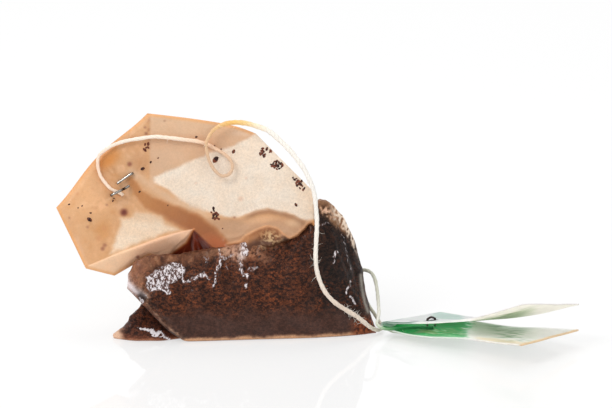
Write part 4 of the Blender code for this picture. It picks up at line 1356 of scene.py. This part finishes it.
def make_flap(material):
    along, across, down, over = head_grid(FLAP_ROWS, FLAP_STEPS, FLAP_COLUMNS)
    u, v = plane_from_head(along, across)
    flat_u, flat_v = u.ravel(), v.ravel()
    edge = np.minimum(over, 1 - over).ravel() * 2 * FLAP_LENGTH
    edge = np.minimum(edge, (1 - down).ravel() * FLAP_LENGTH)
    points = sheet_points(flat_u, flat_v)
    tint = Layers((216, 166, 122), len(points))
    tint.add((190, 134, 90), 1 - ease(edge, 0.1, 0.9))
    tint.add((230, 190, 152), ease(lumps(points, 4.0, 20.0), 0.0, 0.6))
    wave = 0.10 * lumps(points, 3.5, 21.0).reshape(u.shape)
    lens = (1 - np.abs(2 * over - 1) ** 12) ** 0.5 * (1 - np.abs(2 * down - 1) ** 16) ** 0.5
    start = HEAD_DEPTH + head_depth(along, across) + HEAD_THICKNESS / 2 - FLAP_SUNK
    thick = (FLAP_THICKNESS + FLAP_SUNK) * np.maximum(lens, 0.25)
    front, back = from_plane(u, v, start), from_plane(u, v, start + thick + wave * lens)
    return two_sheets("paper_flap", front, back, (tint.seen, tint.seen), {}, material)


paper_flap = make_flap(WET_PAPER)

# %% [markdown]
# ## Staples
# A thin bright wire holds the head's fold: its crown lies behind, over the flap, and its two legs
# come through and are bent over in front. The tag has one of its own. A wire is a tube along a
# smooth path, and it stands in for the CAD wire, whose section has only a few sides.

# %% Staples
WIRE = 0.5
WIRE_SIDES = 14
LOW_LEG = [(0.2, -3.4, 1.1), (0.1, -3.1, 2.0), (-0.2, -2.3, 2.25), (-0.5, -1.4, 2.15),
           (-0.8, -0.5, 1.2), (-1.05, 0.5, 0.65)]
HIGH_LEG = [(0.24, 2.6, 0.5), (0.35, 2.35, 0.75), (0.6, 1.2, 0.78), (1.0, -1.0, 0.65)]


def head_point(along, across, behind):
    """A point of the head that far behind its middle surface."""
    u, v = plane_from_head(along, across)
    depth = HEAD_DEPTH + float(head_depth(np.array(along), np.array(across))) + behind
    return from_plane(u, v, depth)


def wire(name, route, thickness, spacing, material, clean):
    """A round wire. The function given last says how bright each point of its skin is painted, by
    its place and its side: painted highlight and painted shade.
    """
    points, _ = through(route, spacing)
    side, over = frames_along(points)
    angle = np.linspace(0, 2 * math.pi, WIRE_SIDES, endpoint=False)
    ends = np.minimum(np.arange(len(points)), np.arange(len(points))[::-1])
    radius = thickness / 2 * np.where(ends == 0, 0.7, 1.0)
    around = spokes(angle, side, over)
    mesh, skin = tube_mesh(name, points[:, None] + radius[:, None, None] * around)
    outwards = np.concatenate([around.reshape(-1, 3), np.zeros((2, 3))])
    paint(mesh, {"clean": clean(skin, outwards)})
    return add_object(name, mesh, material)


def bright_wire(name):
    """Bright wire, painted dark where its mask is 0 and bright where it is 1: painted shade and a
    painted highlight.
    """
    made = Finish(name, Metallic=1.0)
    scratch = made.noise(1500, 2, 0.5)
    colour = made.mix(made.attribute("clean"), srgb(48, 36, 30), srgb(206, 200, 192))
    return made.set(Base_Color=colour, Roughness=made.ramp(scratch, 0.3, 0.7, 0.22, 0.36))


def make_head_staple(material):
    front = -HEAD_THICKNESS / 2
    back = HEAD_THICKNESS / 2 + FLAP_THICKNESS + 0.3 + WIRE / 2
    low = [head_point(a, c, front - lift) for a, c, lift in LOW_LEG[::-1]]
    high = [head_point(a, c, front - lift) for a, c, lift in HIGH_LEG]
    bottom, top = LOW_LEG[0][1], HIGH_LEG[0][1]
    crown = [(bottom, back - 0.3), (bottom + 0.3, back), ((bottom + top) / 2, back),
             (top - 0.3, back), (top, back - 0.3)]
    crown = [head_point(0.2, across, behind) for across, behind in crown]
    # the side of the wire that faces the camera is painted bright and its other sides dark: a
    # painted highlight and painted shade
    front = np.array((0.0, -COS, SIN))
    return wire("bright_head_staple", [*low, *crown, *high], WIRE, 0.15, material,
                lambda skin, outwards: ease(outwards @ front, 0.55, 0.88))


STAPLE_WIRE = bright_wire("staple_wire")
head_staple = make_head_staple(STAPLE_WIRE)

# %% [markdown]
# ## The folded tag
# The tag is one strip of thin coated card, folded at the left with its two leaves lying open. It is
# a profile of two leaves and a fold, swept across its width, so that both leaves keep their own
# curl. The card has real thickness, with an inner and an outer skin.

# %% Tag shape
CARD = 0.3
TAG_CORNER = (32.8, -4.6)
TAG_TURN = math.radians(-38)
TAG_LENGTH = 34.2
TAG_WIDTH = 19.5
TAG_FOLD = 0.95
# Heights of each leaf along its near and its far edge: (share of the length from the fold, height).
LOWER_NEAR = [(0.0, 1.75), (0.06, 2.0), (0.18, 1.85), (0.33, 2.15), (0.48, 2.9), (0.63, 3.6),
              (0.78, 4.0), (1.0, 4.7)]
LOWER_FAR = [(0.0, 0.25), (0.3, 0.4), (0.5, 0.8), (0.77, 2.1), (1.0, 3.2)]
UPPER_NEAR = [(0.0, 3.15), (0.14, 3.8), (0.39, 5.5), (0.63, 7.7), (0.82, 10.2), (1.0, 13.0)]
LOWER_BELLY = 1.1  # how far the lower leaf sags behind its near edge, next to the fold
UPPER_FAR = [(0.0, 0.72), (0.17, 0.98), (0.35, 1.6), (0.615, 3.75), (1.0, 8.5)]
TAG_STAPLE_AT = (7.4, 6.8)  # from the fold and from the near edge
TAG_ROWS = 130
TAG_COLUMNS = 70


def tag_leaf(from_fold, from_edge, near, far):
    """The height of a leaf whose two edges have these heights."""
    across = from_edge / TAG_WIDTH
    share = from_fold / TAG_LENGTH
    height = (1 - across) * smooth(share, near) + across * smooth(share, far)
    if near is LOWER_NEAR:
        sag = soft_line(from_edge - 3.4, 2.2) * (1 - ease(share, 0.10, 0.27))
        height = np.maximum(height - LOWER_BELLY * sag, 0.35)
        away = np.hypot(from_fold - TAG_STAPLE_AT[0], from_edge - TAG_STAPLE_AT[1])
        height = height + 0.5 * soft_line(away, 2.6)
    return height


def tag_point(from_fold, from_edge, height):
    turn = (math.cos(TAG_TURN), math.sin(TAG_TURN))
    return np.stack(np.broadcast_arrays(
        TAG_CORNER[0] + from_fold * turn[0] - from_edge * turn[1],
        TAG_CORNER[1] + from_fold * turn[1] + from_edge * turn[0], height), axis=-1)


def tag_middle():
    """The card's middle surface: a grid of points, and each row's leaf, -1 below or 1 above."""
    leaf = np.linspace(TAG_LENGTH, TAG_FOLD, TAG_ROWS)
    turn = np.radians(np.linspace(-80, 80, 9))
    from_fold = np.concatenate([leaf, TAG_FOLD * (1 - np.cos(turn)), leaf[::-1]])
    side = np.concatenate([-np.ones(TAG_ROWS), np.sin(turn), np.ones(TAG_ROWS)])
    from_edge = np.linspace(0, TAG_WIDTH, TAG_COLUMNS)
    rows = []
    for x, which in zip(from_fold, side):
        reach = max(x, TAG_FOLD)
        low = tag_leaf(np.full(TAG_COLUMNS, reach), from_edge, LOWER_NEAR, LOWER_FAR)
        high = tag_leaf(np.full(TAG_COLUMNS, reach), from_edge, UPPER_NEAR, UPPER_FAR)
        share = (1 + np.clip(which, -1, 1)) / 2
        rows.append(tag_point(x, from_edge, low + (high - low) * share))
    return np.array(rows), np.repeat(side[:, None], TAG_COLUMNS, 1), from_fold, from_edge


# %% [markdown]
# The print is only plain green fields, faded to white towards the open end, with the ragged edges
# and brush-like streaks of a wet, rubbed card. Tea has crept into the cut edges. Each of the card's
# surfaces gets its own painted areas.

# %% Tag colours
GREEN, CARD_WHITE, CARD_STAIN = (22, 172, 84), (254, 255, 253), (252, 220, 176)
BEIGE, OLIVE = (234, 235, 220), (118, 150, 88)


def streaks(points, length, seed):
    """Noise drawn out along the tag."""
    turn = (math.cos(TAG_TURN), math.sin(TAG_TURN))
    along = points[:, 0] * turn[0] + points[:, 1] * turn[1]
    across = -points[:, 0] * turn[1] + points[:, 1] * turn[0]
    drawn = sheet_points(along / length, across)
    return mixed_lumps(drawn, (0.6, 1.0, seed), (0.4, 0.4, seed + 3.3))


def inner_print(tint, u, v, leaf, from_edge, brushed, ragged):
    """The side that faces inwards: green near the fold below, olive strokes above."""
    lower, upper = leaf < 0, leaf >= 0
    field = 1 - ease(u + ragged * 3.0 - 0.6 * (v - 0.5), 49.0, 51.0)
    tint.add((226, 240, 226), lower * (1 - ease(u, 55.0, 66.0)) * ease(v, -0.6, 0.8))
    tint.add(GREEN, field * lower)
    worn = ease(brushed, -0.25, 0.15) * ease(u, 36.0, 40.0)
    worn = worn * ease(1.2 - v, 0.0, 0.7) * ease(v, -0.9, -0.2)
    tint.add((140, 176, 112), field * lower * worn * 0.85)
    pale = ease(ragged, 0.05, 0.35) * ease(u, 39.0, 43.0) * ease(1.0 - v, 0.0, 0.8)
    tint.add((222, 226, 196), field * lower * pale * 0.7)
    tint.add((140, 204, 150), lower * field * ease(-v, 0.2, 0.9) * 0.85)
    deep = spot(u, v, (46.6, 1.7), (4.0, 1.0)) * ease(brushed, -0.4, 0.0)
    tint.add((0, 140, 48), field * lower * deep)
    strokes = ease(brushed, -0.1, 0.25) * between(u, 52.5, 57.0, 58.0, 64.0) * ease(1.4 - v, 0, 0.5)
    tint.add((120, 158, 124), strokes * lower * 0.7)
    white = spot(u, v, (52.0, -0.4), (3.2, 1.0), 6) * ease(u, 48.6, 50.0)
    tint.add((255, 255, 252), lower * white)
    tint.add(BEIGE, upper * ease(u, 49.0, 52.0))
    band = ease(from_edge + brushed * 4, 3.0, 8.5)
    band = band * ease(u, 50.0, 52.0) * (1 - ease(u + brushed * 3, 58.0, 64.0))
    tint.add(OLIVE, band * upper * (0.65 + 0.35 * ease(brushed, -0.3, 0.2)))


def outer_print(tint, u, leaf, from_fold, from_edge, ragged):
    """The side that faces outwards: a teal wash, a green near edge and painted shadows at the
    staple.
    """
    upper = leaf > 0.2
    staple_x, staple_y = TAG_STAPLE_AT
    tint.add((252, 246, 252), upper * 1.0)
    teal = ease(u, 42.0, 44.5) * (1 - ease(u + ragged * 1.5, 48.6, 50.2))
    tint.add((204, 226, 220), teal * ease(from_edge, 8.5, 12.0) * upper * 0.8)
    edge_line = (1 - ease(from_edge + ragged * 0.2, 0.3, 0.9)) * (1 - ease(u, 38.0, 40.5))
    tint.add((30, 104, 66), edge_line * upper * 0.9)
    # a painted shadow under the staple's crown, and a painted shadow trail to its left
    past = from_fold - staple_x + 0.12 * (from_edge - staple_y)
    staple_shadow = np.exp(-((past / 0.8) ** 2 + ((from_edge - staple_y) / 2.0) ** 2) ** 2)
    tint.add((16, 40, 34), staple_shadow * upper * 0.95)
    shadow_trail = spot(from_fold, from_edge, (staple_x - 1.4, 3.2), (1.0, 1.0), 20)
    tint.add((60, 90, 80), shadow_trail * upper * 0.7)
    tint.add((236, 224, 198), (leaf < -0.2) * (1 - ease(u, 39.0, 44.0)))
    fold = (1 - ease(from_fold, 0.3, 1.4)) * between(from_edge, 0.0, 1.0, 4.0, 7.0)
    tint.add((30, 120, 76), fold * 0.85)


def tag_tint(points, leaf, inner, from_fold, from_edge):
    """Colours of one skin of the card: leaf is -1 below and 1 above."""
    u, v = plane_of(points)
    brushed, ragged = streaks(points, 5.0, 31.0), streaks(points, 2.2, 35.0)
    tint = Layers(CARD_WHITE, len(points))
    if inner:
        inner_print(tint, u, v, leaf, from_edge, brushed, ragged)
    else:
        outer_print(tint, u, leaf, from_fold, from_edge, ragged)

    # tea in the lower leaf's edges, and the white card at the cut rims
    from_end = TAG_LENGTH - from_fold
    cream = 1 - ease(np.minimum(from_edge, 1.6 * from_end) + ragged * 1.5, 1.8, 4.2)
    tint.add((255, 238, 212), cream * between(u, 50.0, 53.0, 59.0, 62.0) * (leaf < 0) * 0.8)
    stain = (1 - ease(from_end + ragged * 0.4, 0.2, 0.9)) * ease(u, 55.0, 59.0) * (leaf < 0)
    tint.add(CARD_STAIN, stain * 0.85)
    open_edge = np.minimum(from_end, np.minimum(from_edge, TAG_WIDTH - from_edge))
    rim = (1 - ease(open_edge, 0.15, 0.55)) * (1 - stain)
    rim = rim * np.where(leaf > 0, between(u, 38.0, 40.5, 49.0, 52.0), 1.0)
    tint.add((255, 254, 250), rim * 0.9)
    return tint.seen


# %% [markdown]
# Thin card lets some light through. Its finish is therefore part Principled and part Translucent,
# mixed by how thin each place looks against the light.

# %% Tag mesh and finish
def coated_card():
    made = Finish("coated_card", Roughness=0.5, Specular_IOR_Level=0.12, Coat_Roughness=0.2)
    fibre = made.noise(3400, 3, 0.6)
    rub = made.noise(700, 4, 0.65)
    tone = made.ramp(rub, 0.3, 0.7, 0.96, 1.03) * made.ramp(fibre, 0.3, 0.7, 0.98, 1.01)
    colour = made.toned(made.attribute("tint", "Color"), tone)
    made.set(Base_Color=colour, Coat_Weight=made.ramp(rub, 0.4, 0.6, 0.02, 0.10),
             Normal=made.bump(rub + fibre * 0.3, 0.00008, 0.25))
    pale = made.mix(0.2, colour, (1.0, 1.0, 1.0))
    through_card = made.node("ShaderNodeBsdfTranslucent", {}, {"Color": pale})
    return made.shared(made.attribute("thin"), through_card)


def make_tag(material):
    middle, leaf, from_fold, from_edge = tag_middle()
    normal = np.cross(np.gradient(middle, axis=0), np.gradient(middle, axis=1))
    normal /= np.linalg.norm(normal, axis=2)[..., None]
    curl = 0.10 * lumps(middle.reshape(-1, 3), 6.0, 50.0).reshape(leaf.shape)
    middle = middle + normal * curl[..., None] * ease(from_fold, 1, 6)[:, None, None]
    skins = [middle + normal * CARD / 2, middle - normal * CARD / 2]
    # the first row is the lower leaf's end, whose inside is the higher skin
    inner, outer = sorted(skins, key=lambda skin: -skin[0, 0, 2])
    folds = np.repeat(from_fold[:, None], TAG_COLUMNS, 1).ravel()
    edges = np.repeat(from_edge[None, :], len(from_fold), 0).ravel()
    seen = [tag_tint(skin.reshape(-1, 3), leaf.ravel(), skin is inner, folds, edges)
            for skin in (inner, outer)]
    upper = ease(leaf, -0.5, 0.5)
    thin = (0.12 + 0.83 * upper, 0.50 - 0.22 * upper)  # how much light each skin lets through
    return two_sheets("folded_card_tag", inner, outer, seen, {"thin": thin}, material)


card_tag = make_tag(coated_card())

# %% [markdown]
# The tag's staple is the same kind of wire. Its route is read from the leaves' own heights, so it
# always lies on the upper one and closes under the lower one.

# %% Tag staple
TAG_WIRE = 0.45
TAG_STAPLE_HALF = 1.3
TAG_STAPLE_LIFT = 0.15


def make_tag_staple(material):
    """Its crown lies on the upper leaf, its legs pass either side of the string and close below."""
    x, y = TAG_STAPLE_AT
    off = CARD / 2 + TAG_STAPLE_LIFT + TAG_WIRE / 2
    bend = 0.25

    def at(from_fold, from_edge, above, rise):
        leaves = (UPPER_NEAR, UPPER_FAR) if above else (LOWER_NEAR, LOWER_FAR)
        height = float(tag_leaf(np.array([from_fold]), from_edge, *leaves)[0])
        return tag_point(from_fold, from_edge, height + (off if above else -off) + rise)

    near, far = y - TAG_STAPLE_HALF, y + TAG_STAPLE_HALF
    route = [at(x + 0.5, y - 0.4, False, 0), at(x, near + bend, False, 0), at(x, near, False, bend),
             at(x, near, True, -bend), at(x, near + bend, True, 0.05), at(x, y, True, 0.3),
             at(x, far - bend, True, 0), at(x, far, True, -bend), at(x, far, False, bend),
             at(x, far - bend, False, 0), at(x - 0.5, y + 0.4, False, 0)]
    crown = at(x, y, True, 0.1)[2]
    # the crown is painted dark as a painted dark reflection, and the legs are painted half bright
    return wire("dark_tag_staple", route, TAG_WIRE, 0.12, material,
                lambda skin, outwards: 0.55 - 0.5 * ease(skin[:, 2], crown - 0.9, crown - 0.5))


tag_staple = make_tag_staple(STAPLE_WIRE)

# %% [markdown]
# ## Tea dust on the paper
# Specks of leaf stick to the wet head, one by one and in little clusters. A leaf bit is one small
# lumpy solid, and Geometry Nodes repeat it: it is set on given points of the paper, turned by a
# seeded random spin, and scaled by the point's own size. The points come from rays shot at the
# paper, so every bit sits on its real surface.

# %% Where the specks lie
CLUSTERS = [  # (u, v) of grains that lie close together
    (9.3, 36.4), (9.2, 35.9), (9.1, 35.4), (9.4, 35.0), (9.7, 35.2), (10.1, 36.3), (10.7, 35.7),
    (10.9, 35.9), (8.8, 35.3), (9.6, 34.8), (11.0, 33.2), (11.4, 33.4), (11.7, 33.8), (12.1, 33.9),
    (12.5, 33.6), (12.9, 33.4), (13.2, 33.1), (12.0, 33.2), (12.3, 32.8), (11.6, 32.8),
    (12.6, 32.4), (12.1, 32.3), (11.2, 32.9), (13.0, 32.7), (15.3, 30.6), (15.6, 30.2),
    (16.0, 29.6), (16.2, 29.9), (16.6, 29.8), (17.0, 29.9), (16.5, 29.3), (16.9, 29.1),
    (17.2, 28.9), (17.6, 28.5), (16.1, 29.1), (16.7, 28.5), (17.3, 28.2), (16.0, 30.4),
    (-0.5, 24.5), (-0.4, 24.0), (-0.9, 23.7), (-0.5, 23.2), (0.1, 23.6), (0.3, 23.2), (0.1, 22.7),
    (-0.5, 22.6), (-0.2, 22.3), (0.5, 22.4), (-14.1, 37.2), (-13.5, 37.3), (-13.8, 36.6),
    (-14.1, 36.0), (-14.4, 36.3), (-13.5, 36.6), (12.0, 33.5), (12.4, 33.1), (11.8, 32.9),
    (16.5, 29.6), (16.8, 29.3), (9.4, 35.7), (-14.2, 36.2), (-0.2, 23.4),
]
CLUSTER_SIZES = (0.40, 0.74)
SIZE_SEED, SPIN_SEED = 7, 5
SINGLES = [  # (u, v, size)
    (-13.0, 33.7, 0.5), (-11.5, 34.5, 0.35), (-14.6, 32.4, 0.8), (-15.2, 27.8, 0.45),
    (-25.1, 22.3, 1.0), (-24.9, 23.6, 0.45), (-26.6, 25.0, 0.35), (-27.4, 24.6, 0.3),
    (-29.2, 25.3, 0.4), (-20.5, 26.0, 0.45), (-20.3, 26.5, 0.3), (3.5, 35.8, 0.8),
    (-0.1, 34.2, 1.3), (-0.3, 36.9, 0.4), (1.0, 36.2, 0.4), (-3.9, 38.7, 0.5), (15.9, 25.2, 0.7),
    (1.3, 20.5, 0.3), (-9.6, 25.1, 0.3),
]


def surface_hits(piece, spots):
    """Where rays straight through the head's plane meet a piece, and which way it faces there."""
    mesh = piece.data
    tree = BVHTree.FromPolygons(
        [corner.co for corner in mesh.vertices], [face.vertices[:] for face in mesh.polygons])
    way = Vector(from_plane(0.0, 0.0, 1.0))
    found = []
    for u, v, size in spots:
        start = Vector(metres(from_plane(u, v, -60.0)))
        place, facing, _, _ = tree.ray_cast(start, way)
        if place:
            found.append((place, facing, size))
    return found


# %% [markdown]
# The tree has named inputs for its sizes and its seed. It ends in Realize Instances, because an
# instance has no faces of its own to keep, and the result becomes a plain mesh.

# %% Node tree for scattered bits
def modifier_tree(name, inputs):
    """A Geometry Nodes tree with a geometry input, and then the named inputs given."""
    tree = bpy.data.node_groups.new(name, "GeometryNodeTree")
    tree.interface.new_socket("Geometry", in_out="INPUT", socket_type="NodeSocketGeometry")
    for title, kind in inputs.items():
        tree.interface.new_socket(title, in_out="INPUT", socket_type=kind)
    tree.interface.new_socket("Geometry", in_out="OUTPUT", socket_type="NodeSocketGeometry")
    made = Graph(tree)
    given = made.node("NodeGroupInput")
    result = made.node("NodeGroupOutput")
    return made, given, result


def scatter(made, points, thing, rotation, scale, material, result):
    """Sets the thing on every point and turns all of them into one real mesh."""
    thing = made.node("GeometryNodeObjectInfo", {}, {"Object": thing}).out("Geometry")
    copies = made.node("GeometryNodeInstanceOnPoints", {}, {
        "Points": points, "Instance": thing, "Rotation": rotation, "Scale": made.even(scale)})
    real = made.node("GeometryNodeRealizeInstances", {}, {"Geometry": copies})
    painted = made.node("GeometryNodeSetMaterial", {}, {"Geometry": real, "Material": material})
    made.tree.links.new(painted.socket, result.inputs["Geometry"])
    return made


def grow(name, base, made, values, slot_material):
    """Runs the tree over a base object and keeps the result as a plain mesh object."""
    modifier = base.modifiers.new(name, "NODES")
    modifier.node_group = made.tree
    for item in made.tree.interface.items_tree:
        if item.in_out == "INPUT" and item.name in values:
            modifier[item.identifier] = values[item.name]
    ready = base.evaluated_get(bpy.context.evaluated_depsgraph_get())
    mesh = bpy.data.meshes.new_from_object(ready)
    base.modifiers.remove(modifier)
    mesh.name = name
    mesh.materials.clear()
    print(name, "faces", len(mesh.polygons))
    return add_object(name, mesh, slot_material)


def speck_tree(material):
    made, given, result = modifier_tree("scattered_leaf_bits", {
        "Leaf bit": "NodeSocketObject", "Size": "NodeSocketFloat", "Seed": "NodeSocketInt"})
    lie = made.node("FunctionNodeAlignRotationToVector", {"axis": "Z"}, {
        "Vector": made.stored("facing", "FLOAT_VECTOR")})
    spin = made.node("FunctionNodeRandomValue", {"data_type": "FLOAT"}, {
        2: 0.0, 3: 2 * math.pi, "Seed": given.out("Seed")}).out(1)
    lie = made.turned(lie, made.node("ShaderNodeCombineXYZ", {}, {"Z": spin}))
    scale = made.stored("size") * given.out("Size")
    return scatter(made, given, given.out("Leaf bit"), lie, scale, material, result)


# %% The specks
def leaf_bit():
    """A lumpy flake about one unit across, which lies flat."""
    shell = bmesh.new()
    bmesh.ops.create_icosphere(shell, subdivisions=2, radius=0.5)
    for point in shell.verts:
        swell = 1 + 0.35 * noise.noise(point.co * 2.3 + Vector((4, 1, 7)))
        point.co = Vector((point.co.x * 1.15, point.co.y * 0.8, point.co.z * 0.45)) * swell
    mesh = bpy.data.meshes.new("leaf_bit")
    shell.to_mesh(mesh)
    shell.free()
    return bpy.data.objects.new("leaf_bit", rounded(mesh))


def dark_leaf():
    made = Finish("wet_leaf_bits", Coat_Weight=0.3, Coat_Roughness=0.2, Specular_IOR_Level=0.25)
    share = made.ramp(made.noise(1300, 3, 0.6), 0.44, 0.60)
    return made.set(Base_Color=made.mix(share, srgb(48, 20, 16), srgb(128, 66, 42)), Roughness=0.5,
                    Normal=made.bump(made.noise(6000, 2), 0.0001, 0.4))


def make_specks(name, piece, spots, material):
    places, ways, sizes = zip(*surface_hits(piece, spots))
    mesh = new_mesh(name + "_points", places)
    store(mesh, "facing", "FLOAT_VECTOR", "vector", ways)
    store(mesh, "size", "FLOAT", "value", sizes)
    base, bit = stand(name + "_points", mesh), leaf_bit()
    specks = grow(name, base, speck_tree(material),
                  {"Leaf bit": bit, "Size": MM, "Seed": SPIN_SEED}, material)
    bpy.data.objects.remove(base)
    bpy.data.objects.remove(bit)
    return specks


sizes = np.random.default_rng(SIZE_SEED).uniform(*CLUSTER_SIZES, len(CLUSTERS))
speck_spots = [(u, v, float(size)) for (u, v), size in zip(CLUSTERS, sizes)] + SINGLES
tea_specks = make_specks("tea_specks", paper_head, speck_spots, dark_leaf())

# %% [markdown]
# ## Loose fibres of the yarn
# A cotton string is never clean at its edge: fine fibres stand off all along it. The same way of
# working suits them. The yarn's own surface is strewn with seeded points, and each one carries a
# thin bent fibre that leans off the surface.

# %% Fuzz on the string
FUZZ_DENSITY = 1600000.0  # fibres on a square metre of yarn where the fuzz is full
FUZZ_LENGTH = 2.0
FUZZ_SHORTEST = 0.35  # share of that length
FUZZ_LEAN = 1.1  # most that a fibre leans over, in radians
FUZZ_SEED = 3
FIBRE_STEPS = 5
FIBRE_HALF = 0.020  # thickness at the root, of a fibre of unit length


def fibre():
    """A thin curved hair of unit length that rises along Z and bends over."""
    corners = [np.array((math.cos(a), math.sin(a), 0)) for a in (0, 2.09, 4.19)]
    points = []
    for t in (i / FIBRE_STEPS for i in range(FIBRE_STEPS + 1)):
        middle = np.array((0.45 * t * t, 0.12 * math.sin(3 * t), t * (1 - 0.35 * t)))
        points += [middle + FIBRE_HALF * (1 - 0.8 * t) * corner for corner in corners]
    faces = [(3 * r + i, 3 * r + (i + 1) % 3, 3 * r + 3 + (i + 1) % 3, 3 * r + 3 + i)
             for r in range(FIBRE_STEPS) for i in range(3)]
    last = 3 * FIBRE_STEPS
    mesh = new_mesh("fibre", points, [*faces, (2, 1, 0), (last, last + 1, last + 2)])
    return bpy.data.objects.new("fibre", mesh)


def fuzz_tree(material):
    made, given, result = modifier_tree("fuzz_on_yarn", {
        "Fibre": "NodeSocketObject", "Density": "NodeSocketFloat", "Length": "NodeSocketFloat",
        "Seed": "NodeSocketInt"})
    seed = given.out("Seed")
    points = made.node("GeometryNodeDistributePointsOnFaces", {"distribute_method": "RANDOM"}, {
        "Mesh": given, "Density": given.out("Density") * made.stored("fuzz"), "Seed": seed})
    tilt = made.node("FunctionNodeRandomValue", {"data_type": "FLOAT_VECTOR"}, {
        0: (-FUZZ_LEAN, -FUZZ_LEAN, 0.0), 1: (FUZZ_LEAN, FUZZ_LEAN, 6.28), "Seed": seed})
    share = made.node("FunctionNodeRandomValue", {"data_type": "FLOAT"}, {
        2: FUZZ_SHORTEST, 3: 1.0, "Seed": seed}).out(1)
    return scatter(made, points, given.out("Fibre"), made.turned(points.out("Rotation"), tilt),
                   share * given.out("Length"), material, result)


def fuzz_finish():
    made = Finish("loose_fibres", Roughness=0.9, Specular_IOR_Level=0.1)
    warmth = made.noise(120, 2)
    return made.set(Base_Color=made.mix(warmth, srgb(238, 230, 214), srgb(248, 246, 240)))


def make_fuzz(string, material):
    hair = fibre()
    fuzz = grow("string_fuzz", string, fuzz_tree(material), {
        "Fibre": hair, "Density": FUZZ_DENSITY, "Length": FUZZ_LENGTH * MM, "Seed": FUZZ_SEED,
    }, material)
    bpy.data.objects.remove(hair)
    return fuzz


string_fuzz = make_fuzz(cotton_string, fuzz_finish())

# %% [markdown]
# ## Floor and light
# The table is white and glossy. Seen by the camera it is close to plain white, and it keeps a
# faint shadow and a faint mirror image. Large soft lamps stand above, to the left and to the right.

# %% Stage
FLOOR_HALF = 3.0
FLOOR_WHITE = 0.57  # share of plain white, which leaves the rest to the lit, shiny floor
ROOM_LIGHT = 0.62  # what the white room gives to matt surfaces
ROOM_GLOSS = 0.30  # what shiny ones see of its dim front


def make_floor():
    corners = [(x * FLOOR_HALF, y * FLOOR_HALF, 0) for x, y in ((-1, -1), (1, -1), (1, 1), (-1, 1))]
    made = Finish("white_table", Roughness=0.03, Specular_IOR_Level=0.5,
                  Base_Color=(0.95, 0.95, 0.95, 1))
    glow = made.node("ShaderNodeEmission", {}, {"Color": (1, 1, 1, 1), "Strength": 1.0})
    path = made.node("ShaderNodeLightPath")
    seen = path.out("Is Camera Ray") * FLOOR_WHITE
    seen = seen + path.out("Is Glossy Ray") + path.out("Is Transmission Ray")
    table = new_mesh("floor", corners, [(0, 1, 2, 3)])
    add_object("floor", table, made.shared(seen, glow))


def make_world():
    world = bpy.data.worlds.new("studio")
    bpy.context.scene.world = world
    world.use_nodes = True
    made = Graph(world.node_tree)
    background = world.node_tree.nodes["Background"]
    path = made.node("ShaderNodeLightPath")
    way = made.node("ShaderNodeSeparateXYZ", {}, {
        "Vector": made.node("ShaderNodeTexCoord").out("Object")})
    backdrop = made.ramp(way.out("Y"), -0.6, 0.5, ROOM_GLOSS, 1.0)
    seen = path.out("Is Camera Ray") + path.out("Is Transmission Ray")
    strength = seen + path.out("Is Diffuse Ray") * ROOM_LIGHT + path.out("Is Glossy Ray") * backdrop
    made.feed(background.inputs["Strength"], strength)
    background.inputs["Color"].default_value = (1, 1, 1, 1)


LAMPS = [  # (name, place, target, size, power), in metres and watts
    ("key", (-0.55, -0.50, 0.75), (0.0, 0.0, 0.015), 0.40, 3.9),
    ("fill", (0.45, -0.85, 0.16), (0.03, 0.0, 0.010), 0.60, 2.2),
    ("top", (0.05, 0.25, 0.90), (0.0, 0.0, 0.0), 0.60, 2.4),
]


def make_lamps():
    for name, place, target, size, power in LAMPS:
        data = bpy.data.lights.new(name, "AREA")
        data.shape, data.size, data.energy = "SQUARE", size, power
        lamp = stand(name, data)
        lamp.location = place
        lamp.rotation_euler = (Vector(target) - Vector(place)).to_track_quat("-Z", "Y").to_euler()
        lamp.visible_glossy = name != "fill"  # it stands so low that the table would mirror it
    print("lamps", [lamp[0] for lamp in LAMPS])


make_floor()
make_world()
make_lamps()
bpy.context.scene.view_settings.view_transform = "Standard"

# %% [markdown]
# ## Binding to the model
# Every piece rides on the part's one body, and the CAD nodes that it stands for are hidden.

# %% Bodies, and the CAD nodes that the pieces hide
PIECES = [  # (piece, slot, CAD nodes it stands for)
    (front_chamber, "filter_paper", ("filter_paper_bag",)),
    (rear_chamber, "filter_paper", ("filter_paper_bag",)),
    (paper_head, "filter_paper", ("filter_paper_bag",)),
    (paper_flap, "filter_paper", ("filter_paper_bag",)),
    (cotton_string, "cotton_string", ("string",)),
    (string_fuzz, "cotton_string", ()),
    (tea_specks, "wet_tea", ()),
    (head_staple, "staple_wire", ("head_staple",)),
    (card_tag, "tag_card", ("tag",)),
    (tag_staple, "staple_wire", ("tag_staple",)),
]
for piece, slot, nodes in PIECES:
    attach(piece, "root")
    if nodes:
        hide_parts(*nodes)
